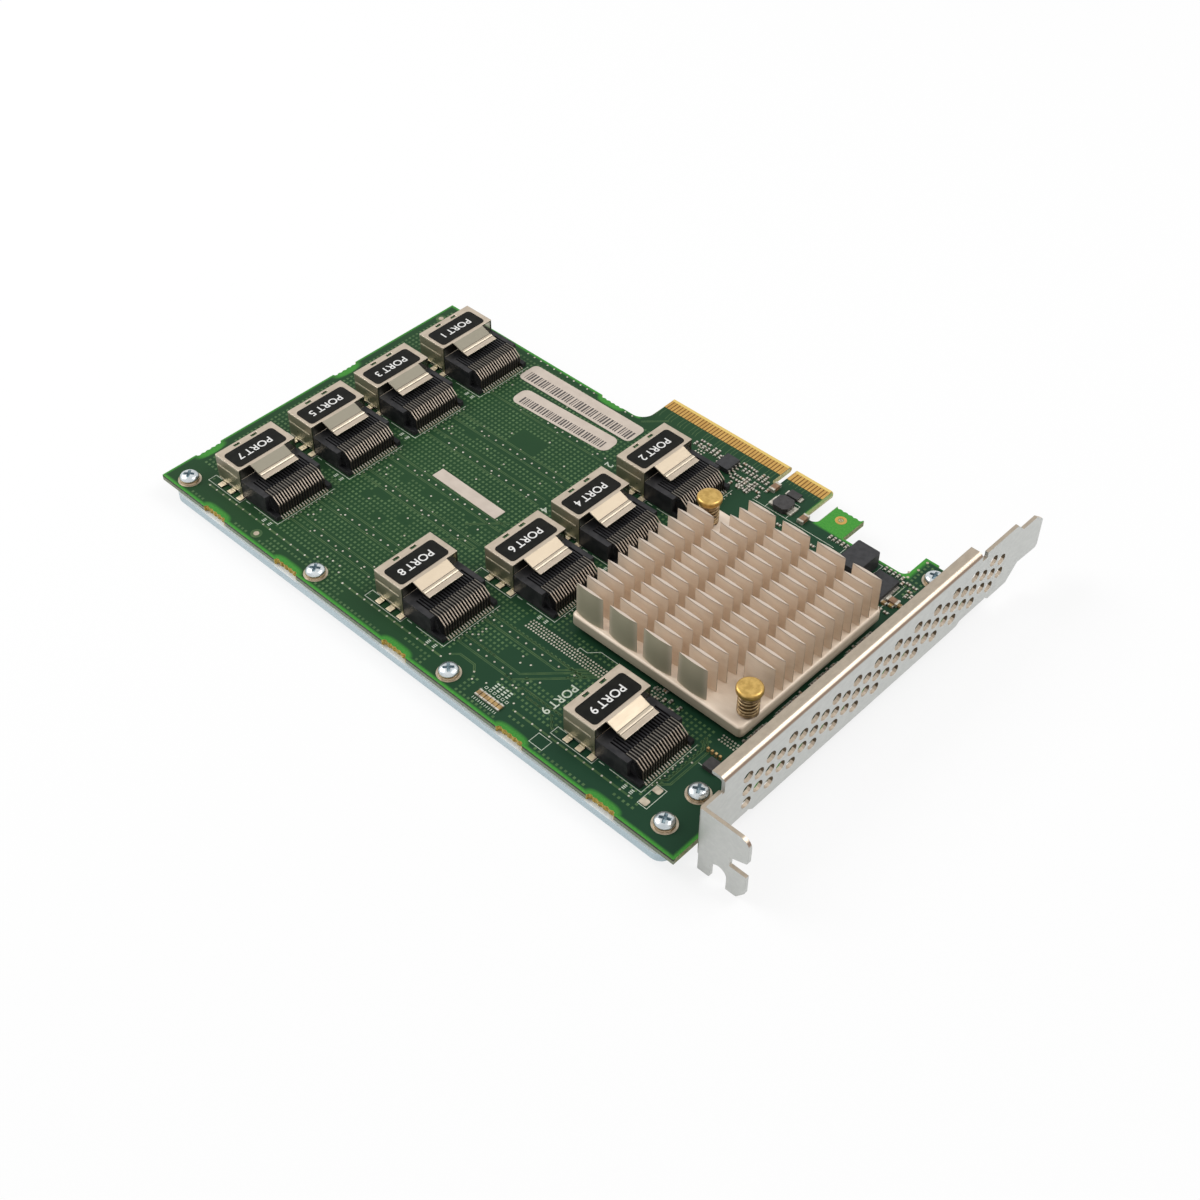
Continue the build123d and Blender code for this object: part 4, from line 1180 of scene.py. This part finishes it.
class CARD_OT_screws(bpy.types.Operator):
    """Make the pan-head screws with their cross recesses"""

    bl_idname = "card.screws"
    bl_label = "Board screws"

    def execute(self, context):
        steel = Finish("bright_screw")
        cloud = steel.noise(700.0, 2.0)
        tone = steel.mix(steel.step(cloud, 0.3, 0.7), (0.500, 0.545, 0.570), (0.640, 0.675, 0.690))
        skirt = steel.step(steel.along(2), 0.00115, 0.00075)
        tone = steel.mix(skirt, tone, (0.430, 0.330, 0.220))
        steel.set("Base Color", tone)
        steel.set("Metallic", 0.85)
        steel.set("Roughness", steel.step(cloud, 0.2, 0.8, 0.20, 0.30))
        # Painted shade: the cross recess is painted darker than the head.
        recess = mottled("screw_recess_painted_shade", (0.400, 0.500, 0.540), (0.220, 0.300, 0.340), 0.6, 0.40, 900.0)
        head = self.head()
        joined = bmesh.new()
        for x, y, turn in BOARD_SCREWS:
            part = head.copy()
            part.transform(Matrix.Translation(mm(x, y, 0)) @ Matrix.Rotation(math.radians(turn), 4, "Z"))
            joined.from_mesh(part)
            bpy.data.meshes.remove(part)
        mesh = bpy.data.meshes.new("pan_head_screws")
        joined.to_mesh(mesh)
        joined.free()
        mesh.materials.append(steel.material)
        mesh.materials.append(recess.material)
        screws = bpy.data.objects.new("pan_head_screws", mesh)
        context.scene.collection.objects.link(screws)
        screws.data.set_sharp_from_angle(angle=math.radians(38))
        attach(screws, "root")
        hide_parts("board_screws")
        return {"FINISHED"}

    def head(self):
        """One screw at the origin: a low dome with a tapered cross cut into it."""
        profile = [
            (0.0, 1.9), (0.8, 1.88), (1.35, 1.79), (1.8, 1.6), (2.14, 1.34), (2.34, 1.02), (2.36, 0.8), (2.3, 0.5),
            (2.24, 0.3), (2.34, 0.2), (2.38, 0.0),
            (1.4, 0.0), (1.4, -3.6), (1.2, -3.77), (0.0, -3.77),
        ]
        shape = bmesh.new()
        sides = 32
        rings = []
        for radius, z in profile:
            if radius == 0.0:
                rings.append([shape.verts.new(mm(0, 0, z))])
            else:
                turns = [2 * math.pi * index / sides for index in range(sides)]
                rings.append([shape.verts.new(mm(radius * math.cos(t), radius * math.sin(t), z)) for t in turns])
        for upper, lower in zip(rings, rings[1:]):
            for index in range(sides):
                after = (index + 1) % sides
                if len(upper) == 1:
                    shape.faces.new([upper[0], lower[index], lower[after]])
                elif len(lower) == 1:
                    shape.faces.new([upper[after], upper[index], lower[0]])
                else:
                    shape.faces.new([upper[after], upper[index], lower[index], lower[after]])
        bmesh.ops.recalc_face_normals(shape, faces=shape.faces)
        for face in shape.faces:
            face.smooth = True
        body = bpy.data.meshes.new("screw_body")
        shape.to_mesh(body)
        shape.free()
        cutter = bmesh.new()
        wing, root, deep = 1.6, 0.45, 0.95
        top = [(wing, root), (root, root), (root, wing), (-root, wing), (-root, root), (-wing, root), (-wing, -root), (-root, -root), (-root, -wing), (root, -wing), (root, -root), (wing, -root)]
        upper = [cutter.verts.new(mm(px, py, 2.3)) for px, py in top]
        lower = [cutter.verts.new(mm(px * 0.55, py * 0.55, deep)) for px, py in top]
        cutter.faces.new(upper)
        cutter.faces.new(lower[::-1])
        for index in range(len(top)):
            after = (index + 1) % len(top)
            cutter.faces.new([upper[after], upper[index], lower[index], lower[after]])
        bmesh.ops.recalc_face_normals(cutter, faces=cutter.faces)
        for face in cutter.faces:
            face.material_index = 1
        cross = bpy.data.meshes.new("screw_cross")
        for owner in (body, cross):
            owner.materials.append(None)
            owner.materials.append(None)
        cutter.to_mesh(cross)
        cutter.free()
        scene = bpy.context.scene.collection
        tool = bpy.data.objects.new("screw_cross", cross)
        work = bpy.data.objects.new("screw_body", body)
        scene.objects.link(tool)
        scene.objects.link(work)
        cut = work.modifiers.new("recess", "BOOLEAN")
        cut.operation = "DIFFERENCE"
        cut.solver = "EXACT"
        cut.object = tool
        bpy.context.view_layer.update()
        graph = bpy.context.evaluated_depsgraph_get()
        mesh = bpy.data.meshes.new_from_object(work.evaluated_get(graph))
        bpy.data.objects.remove(tool)
        bpy.data.objects.remove(work)
        kinds = [polygon.material_index for polygon in mesh.polygons]
        mesh.materials.clear()
        mesh.materials.append(None)
        mesh.materials.append(None)
        mesh.polygons.foreach_set("material_index", kinds)
        return mesh


class CARD_OT_bracket(bpy.types.Operator):
    """Finish the vented bracket and the stiffener bar"""

    bl_idname = "card.bracket"
    bl_label = "Bracket and bar"

    def execute(self, context):
        look = context.scene.card_metal
        dress(["bracket"], bracket_finish(look))
        bar = Finish("stiffener_plate")
        drawn = bar.noise(420.0, 3.0, 0.5, bar.stretched(0.08, 1.0, 1.0))
        plate = bar.mix(bar.step(drawn, 0.3, 0.7), (0.505, 0.610, 0.650), (0.460, 0.565, 0.610))
        # Painted highlight: the bar's top faces are painted paler than its sides.
        plate = bar.mix(bar.step(bar.facing(2), 0.6, 0.9), plate, (0.700, 0.750, 0.780))
        bar.set("Base Color", plate)
        bar.set("Metallic", 0.45)
        bar.set("Roughness", bar.step(drawn, 0.2, 0.8, 0.36, 0.46))
        bar.bump(drawn, 0.05, 0.00002)
        dress(["stiffener_bar"], bar.material)
        return {"FINISHED"}


class CARD_OT_chips(bpy.types.Operator):
    """Finish the small parts and give them their terminals"""

    bl_idname = "card.chips"
    bl_label = "Small parts"

    def execute(self, context):
        dress(["flash_chip", "controller_chip", "tall_component"], moulded_finish("moulded_package"))
        dress(["power_inductor", "regulator_chip", "corner_connector"], moulded_finish("ferrite_block", (0.034, 0.032, 0.032)))
        clay = mottled("capacitor_body", (0.260, 0.150, 0.080), (0.170, 0.095, 0.050), 0.0, 0.45, 900.0).material
        film = mottled("resistor_body", (0.460, 0.300, 0.110), (0.230, 0.140, 0.055), 0.0, 0.40, 900.0).material
        dress(["chip_capacitors"], clay)
        dress(["resistor_arrays"], film)
        tiny = mottled("chip_body", (0.160, 0.115, 0.080), (0.050, 0.042, 0.036), 0.0, 0.45, 600.0).material
        dress(["small_chips"], tiny)
        solder = mottled("solder_end", (0.640, 0.600, 0.520), (0.400, 0.370, 0.310), 0.55, 0.30, 1500.0).material
        leads = Sheet()
        ends = Sheet()
        for name, share, rise in (("small_chips", 0.3, 0.03), ("chip_capacitors", 0.17, 0.03), ("resistor_arrays", 0.16, 0.03)):
            for low, high in self.solids(name):
                length, width = high.x - low.x, high.y - low.y
                top = high.z + rise
                if length > width:
                    cut = length * share
                    ends.box(low.x - 0.12, low.x + cut, low.y - 0.04, high.y + 0.04, 0.0, top)
                    ends.box(high.x - cut, high.x + 0.12, low.y - 0.04, high.y + 0.04, 0.0, top)
                else:
                    cut = width * share
                    ends.box(low.x - 0.04, high.x + 0.04, low.y - 0.12, low.y + cut, 0.0, top)
                    ends.box(low.x - 0.04, high.x + 0.04, high.y - cut, high.y + 0.12, 0.0, top)
        ends.piece("chip_terminals", solder, "contact_metal")
        marks = Sheet(height=0.02)
        for low, high in self.solids("small_chips"):
            if high.x - low.x > high.y - low.y:
                marks.box(low.x - 0.2, high.x + 0.2, high.y + 0.14, high.y + 0.27)
            else:
                marks.box(low.x - 0.27, low.x - 0.14, low.y - 0.2, high.y + 0.2)
        bodies, caps = Sheet(), Sheet()
        for index, (x, y, turned) in enumerate(self.passives()):
            long, wide = (0.5, 0.27)
            half_x, half_y = (long, wide) if turned else (wide, long)
            holder = (bodies, caps)[index % 3 == 1]
            holder.box(x - half_x, x + half_x, y - half_y, y + half_y, 0.0, 0.36)
            if turned:
                ends_x = ((x - long - 0.1, x - long * 0.45), (x + long * 0.45, x + long + 0.1))
                for near, far in ends_x:
                    leads.box(near, far, y - wide - 0.03, y + wide + 0.03, 0.0, 0.4)
                marks.box(x - 0.7, x + 0.7, y + 0.4, y + 0.52)
            else:
                ends_y = ((y - long - 0.1, y - long * 0.45), (y + long * 0.45, y + long + 0.1))
                for near, far in ends_y:
                    leads.box(x - wide - 0.03, x + wide + 0.03, near, far, 0.0, 0.4)
                marks.box(x - 0.52, x - 0.4, y - 0.7, y + 0.7)
        bodies.piece("passive_bodies", tiny, "black_package")
        caps.piece("passive_capacitors", clay, "capacitor_body")
        marks.piece("passive_marks", mottled("mark_ink", (0.520, 0.560, 0.460), (0.380, 0.430, 0.340), 0.0, 0.6, 2400.0).material, "board")
        for index in range(4):
            y = -10.9 + 1.27 * (index - 1.5)
            for side in (-1, 1):
                near, far = sorted((-12.6 + side * 1.98, -12.6 + side * 2.35))
                leads.box(near, far, y - 0.22, y + 0.22, 0.0, 0.92)
                near, far = sorted((-12.6 + side * 2.3, -12.6 + side * 3.05))
                leads.box(near, far, y - 0.22, y + 0.22, 0.0, 0.29)
        for index in range(17):
            y = -22.7 + 0.4 * index
            for near, far in ((36.45, 37.15), (43.05, 43.75)):
                leads.box(near, far, y - 0.11, y + 0.11, 0.0, 0.3)
        for near, far in ((3.5, 4.75), (9.05, 10.3)):
            leads.box(near, far, -14.6, -11.5, 0.0, 0.5)
        for near, far in ((4.3, 5.1), (8.1, 9.0)):
            leads.box(near, far, -9.3, -7.7, 0.0, 0.35)
        for x, y in ((44.0, -22.6), (45.7, -22.2), (47.3, -21.0)):
            leads.box(x - 0.75, x + 0.75, y - 0.42, y + 0.42, 0.0, 0.5)
        leads.piece("chip_leads", solder, "contact_metal")
        blocks = Sheet()
        for x, y in ((44.0, -22.6), (45.7, -22.2), (47.3, -21.0)):
            blocks.box(x - 0.42, x + 0.42, y - 0.45, y + 0.45, 0.0, 0.62)
        blocks.piece("tan_capacitors", film, "resistor_body")
        pins = Sheet()
        for index in range(4):
            x = 43.6 + 1.1 * index
            pins.box(x - 0.28, x + 0.28, -83.2, -82.65, 0.0, 1.1)
        pins.piece("header_pins", mottled("pin_plate", (0.560, 0.380, 0.170), (0.380, 0.240, 0.100), 0.6, 0.35, 900.0).material, "brass")
        return {"FINISHED"}

    def passives(self):
        """Places of the smallest two-terminal parts, and whether they lie along X."""
        places = [
            (-22.9, -8.1, True), (-20.9, -8.1, True), (-18.6, -8.5, False), (-17.4, -8.5, False),
            (-9.6, -7.6, True), (-7.9, -7.6, True), (-6.2, -7.8, True), (-3.6, -7.9, False), (-2.4, -7.9, False),
            (-8.6, -12.2, True), (-6.9, -12.2, True), (-8.8, -13.6, True), (-7.0, -13.6, True), (-5.2, -13.0, False),
            (-4.0, -13.0, False), (-2.6, -13.4, True), (-0.9, -13.4, True), (-5.8, -14.9, True), (-3.9, -14.9, True),
            (-7.9, -15.3, False), (0.3, -14.7, False), (-1.2, -11.6, True), (0.5, -11.4, False),
            (10.2, -18.9, True), (20.5, -19.1, True), (43.3, -14.6, False), (44.5, -13.9, True), (46.4, -14.0, True),
            (46.2, -15.8, True), (46.4, -17.4, False), (47.4, -16.9, False), (44.3, -24.7, True), (46.2, -24.8, True),
            (24.2, -77.7, True), (26.0, -76.7, True), (27.6, -78.9, False), (28.9, -78.2, False), (30.4, -80.0, True),
            (26.0, -79.6, True), (31.6, -78.4, False), (24.4, -80.9, True),
        ]
        for index in range(50):
            if index % 13 not in (8, 9, 10):
                places.append((47.62 + 0.3 * (index % 2), -75.8 + 0.94 * index, index % 5 == 0))
        for index in range(26):
            y = -82.0 + 2.05 * index
            places.append((49.2 + 0.35 * (index % 2), y, index % 3 == 0))
            places.append((51.2, y + 0.9 * (index % 3), index % 2 == 0))
            if index % 4:
                places.append((53.0 - 0.3 * (index % 2), y - 0.4, index % 5 == 1))
        return places

    def solids(self, name):
        """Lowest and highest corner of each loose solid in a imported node, in millimetres."""
        shape = bmesh.new()
        shape.from_mesh(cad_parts[name].data)
        bmesh.ops.remove_doubles(shape, verts=shape.verts, dist=1e-6)
        shape.verts.ensure_lookup_table()
        left = set(shape.verts)
        boxes = []
        while left:
            todo = [left.pop()]
            found = []
            while todo:
                vertex = todo.pop()
                found.append(vertex.co / MM)
                for edge in vertex.link_edges:
                    other = edge.other_vert(vertex)
                    if other in left:
                        left.remove(other)
                        todo.append(other)
            low = Vector([min(point[axis] for point in found) for axis in range(3)])
            high = Vector([max(point[axis] for point in found) for axis in range(3)])
            boxes.append((low, high))
        shape.free()
        return boxes


class CARD_OT_stage(bpy.types.Operator):
    """Set the pale floor, the soft lights and the camera"""

    bl_idname = "card.stage"
    bl_label = "Stage"

    def execute(self, context):
        look = context.scene.card_stage
        floor_mesh = bpy.data.meshes.new("studio_floor")
        reach = 6.0
        level = cad_box[0].z - 0.00005
        floor_mesh.from_pydata([(-reach, -reach, level), (reach, -reach, level), (reach, reach, level), (-reach, reach, level)], [], [[0, 1, 2, 3]])
        floor = bpy.data.objects.new("studio_floor", floor_mesh)
        context.scene.collection.objects.link(floor)
        floor_mesh.materials.append(self.pale())
        self.surroundings(look.fill)
        self.lamp("softbox_left", (-0.70, -0.28, 0.70), 0.55, look.key_power)
        self.lamp("softbox_back", (0.42, 0.44, 0.86), 0.50, look.key_power * 0.8)
        camera_data = bpy.data.cameras.new("camera")
        camera_data.lens = 52.0875
        camera_data.sensor_width = 36.0
        camera_data.clip_start = 0.01
        camera_data.clip_end = 30.0
        camera = bpy.data.objects.new("camera", camera_data)
        context.scene.collection.objects.link(camera)
        right = Vector((0.72623910, 0.68742795, 0.00442530))
        down = Vector((0.49118957, -0.51439622, -0.70294334))
        forward = Vector((-0.48094655, 0.51267860, -0.71123208))
        turn = Matrix((right, -down, -forward)).transposed().to_4x4()
        camera.matrix_world = Matrix.Translation(mm(186.451, -268.592, 280.694)) @ turn
        context.scene.camera = camera
        context.scene.view_settings.view_transform = "Standard"
        return {"FINISHED"}

    def pale(self):
        """White to the camera and in reflections, plain to the light, so that a soft shadow stays."""
        material = bpy.data.materials.new("studio_white")
        material.use_nodes = True
        nodes, links = material.node_tree.nodes, material.node_tree.links
        nodes.clear()
        out = nodes.new("ShaderNodeOutputMaterial")
        matt = nodes.new("ShaderNodeBsdfDiffuse")
        matt.inputs[0].default_value = (0.86, 0.86, 0.86, 1.0)
        glow = nodes.new("ShaderNodeEmission")
        glow.inputs[0].default_value = (1.0, 1.0, 1.0, 1.0)
        rays = nodes.new("ShaderNodeLightPath")
        share = nodes.new("ShaderNodeMath")
        share.operation = "MULTIPLY"
        share.inputs[1].default_value = 0.82
        links.new(self.seen(nodes, links, rays), share.inputs[0])
        blend = nodes.new("ShaderNodeMixShader")
        links.new(share.outputs[0], blend.inputs[0])
        links.new(matt.outputs[0], blend.inputs[1])
        links.new(glow.outputs[0], blend.inputs[2])
        links.new(blend.outputs[0], out.inputs[0])
        return material

    def seen(self, nodes, links, rays):
        """One for rays that show the background, by sight, in a mirror or through glass."""
        latest = rays.outputs["Is Camera Ray"]
        for kind in ("Is Glossy Ray", "Is Transmission Ray"):
            either = nodes.new("ShaderNodeMath")
            either.operation = "MAXIMUM"
            links.new(latest, either.inputs[0])
            links.new(rays.outputs[kind], either.inputs[1])
            latest = either.outputs[0]
        return latest

    def surroundings(self, strength):
        """Pale sky, darker towards the horizon, white to the camera and in reflections."""
        world = bpy.data.worlds.new("studio_sky")
        bpy.context.scene.world = world
        world.use_nodes = True
        nodes, links = world.node_tree.nodes, world.node_tree.links
        nodes.clear()
        out = nodes.new("ShaderNodeOutputWorld")
        sky = nodes.new("ShaderNodeBackground")
        white = nodes.new("ShaderNodeBackground")
        white.inputs[0].default_value = (1.0, 1.0, 1.0, 1.0)
        white.inputs[1].default_value = 1.0
        place = nodes.new("ShaderNodeTexCoord")
        split = nodes.new("ShaderNodeSeparateXYZ")
        links.new(place.outputs["Generated"], split.inputs[0])
        ramp = nodes.new("ShaderNodeMapRange")
        links.new(split.outputs[2], ramp.inputs[0])
        for index, number in enumerate((-0.1, 0.9, 0.45, 1.0), start=1):
            ramp.inputs[index].default_value = number
        tone = nodes.new("ShaderNodeCombineColor")
        for index in range(3):
            links.new(ramp.outputs[0], tone.inputs[index])
        links.new(tone.outputs[0], sky.inputs[0])
        sky.inputs[1].default_value = strength
        rays = nodes.new("ShaderNodeLightPath")
        blend = nodes.new("ShaderNodeMixShader")
        links.new(self.seen(nodes, links, rays), blend.inputs[0])
        links.new(sky.outputs[0], blend.inputs[1])
        links.new(white.outputs[0], blend.inputs[2])
        links.new(blend.outputs[0], out.inputs[0])

    def lamp(self, name, place, size, power):
        data = bpy.data.lights.new(name, "AREA")
        data.shape = "SQUARE"
        data.size = size
        data.energy = power
        lamp = bpy.data.objects.new(name, data)
        bpy.context.scene.collection.objects.link(lamp)
        target = Vector((-0.02, -0.05, 0.0))
        lamp.location = target + Vector(place)
        lamp.rotation_euler = (-Vector(place)).to_track_quat("-Z", "Y").to_euler()
        return lamp


STEPS = (CARD_OT_board, CARD_OT_fingers, CARD_OT_print, CARD_OT_sockets, CARD_OT_cooler, CARD_OT_screws, CARD_OT_bracket, CARD_OT_chips, CARD_OT_stage)


class CARD_PT_panel(bpy.types.Panel):
    """Lists the steps that dress the card"""

    bl_idname = "CARD_PT_panel"
    bl_label = "Expander card"
    bl_space_type = "VIEW_3D"
    bl_region_type = "UI"
    bl_category = "Card"

    def draw(self, context):
        column = self.layout.column(align=True)
        for step in STEPS:
            column.operator(step.bl_idname)


LOOKS = (("card_board", CardBoardLook), ("card_metal", CardMetalLook), ("card_label", CardLabelLook), ("card_stage", CardStageLook))


def register():
    for name, look in LOOKS:
        bpy.utils.register_class(look)
        setattr(bpy.types.Scene, name, bpy.props.PointerProperty(type=look))
    for step in STEPS:
        bpy.utils.register_class(step)
    bpy.utils.register_class(CARD_PT_panel)


def unregister():
    bpy.utils.unregister_class(CARD_PT_panel)
    for step in reversed(STEPS):
        bpy.utils.unregister_class(step)
    for name, look in reversed(LOOKS):
        delattr(bpy.types.Scene, name)
        bpy.utils.unregister_class(look)


def main():
    register()
    bpy.ops.card.board()
    bpy.ops.card.fingers()
    bpy.ops.card.print()
    bpy.ops.card.sockets()
    bpy.ops.card.cooler()
    bpy.ops.card.screws()
    bpy.ops.card.bracket()
    bpy.ops.card.chips()
    bpy.ops.card.stage()
    bpy.context.view_layer.update()


if __name__ == "__main__":
    main()
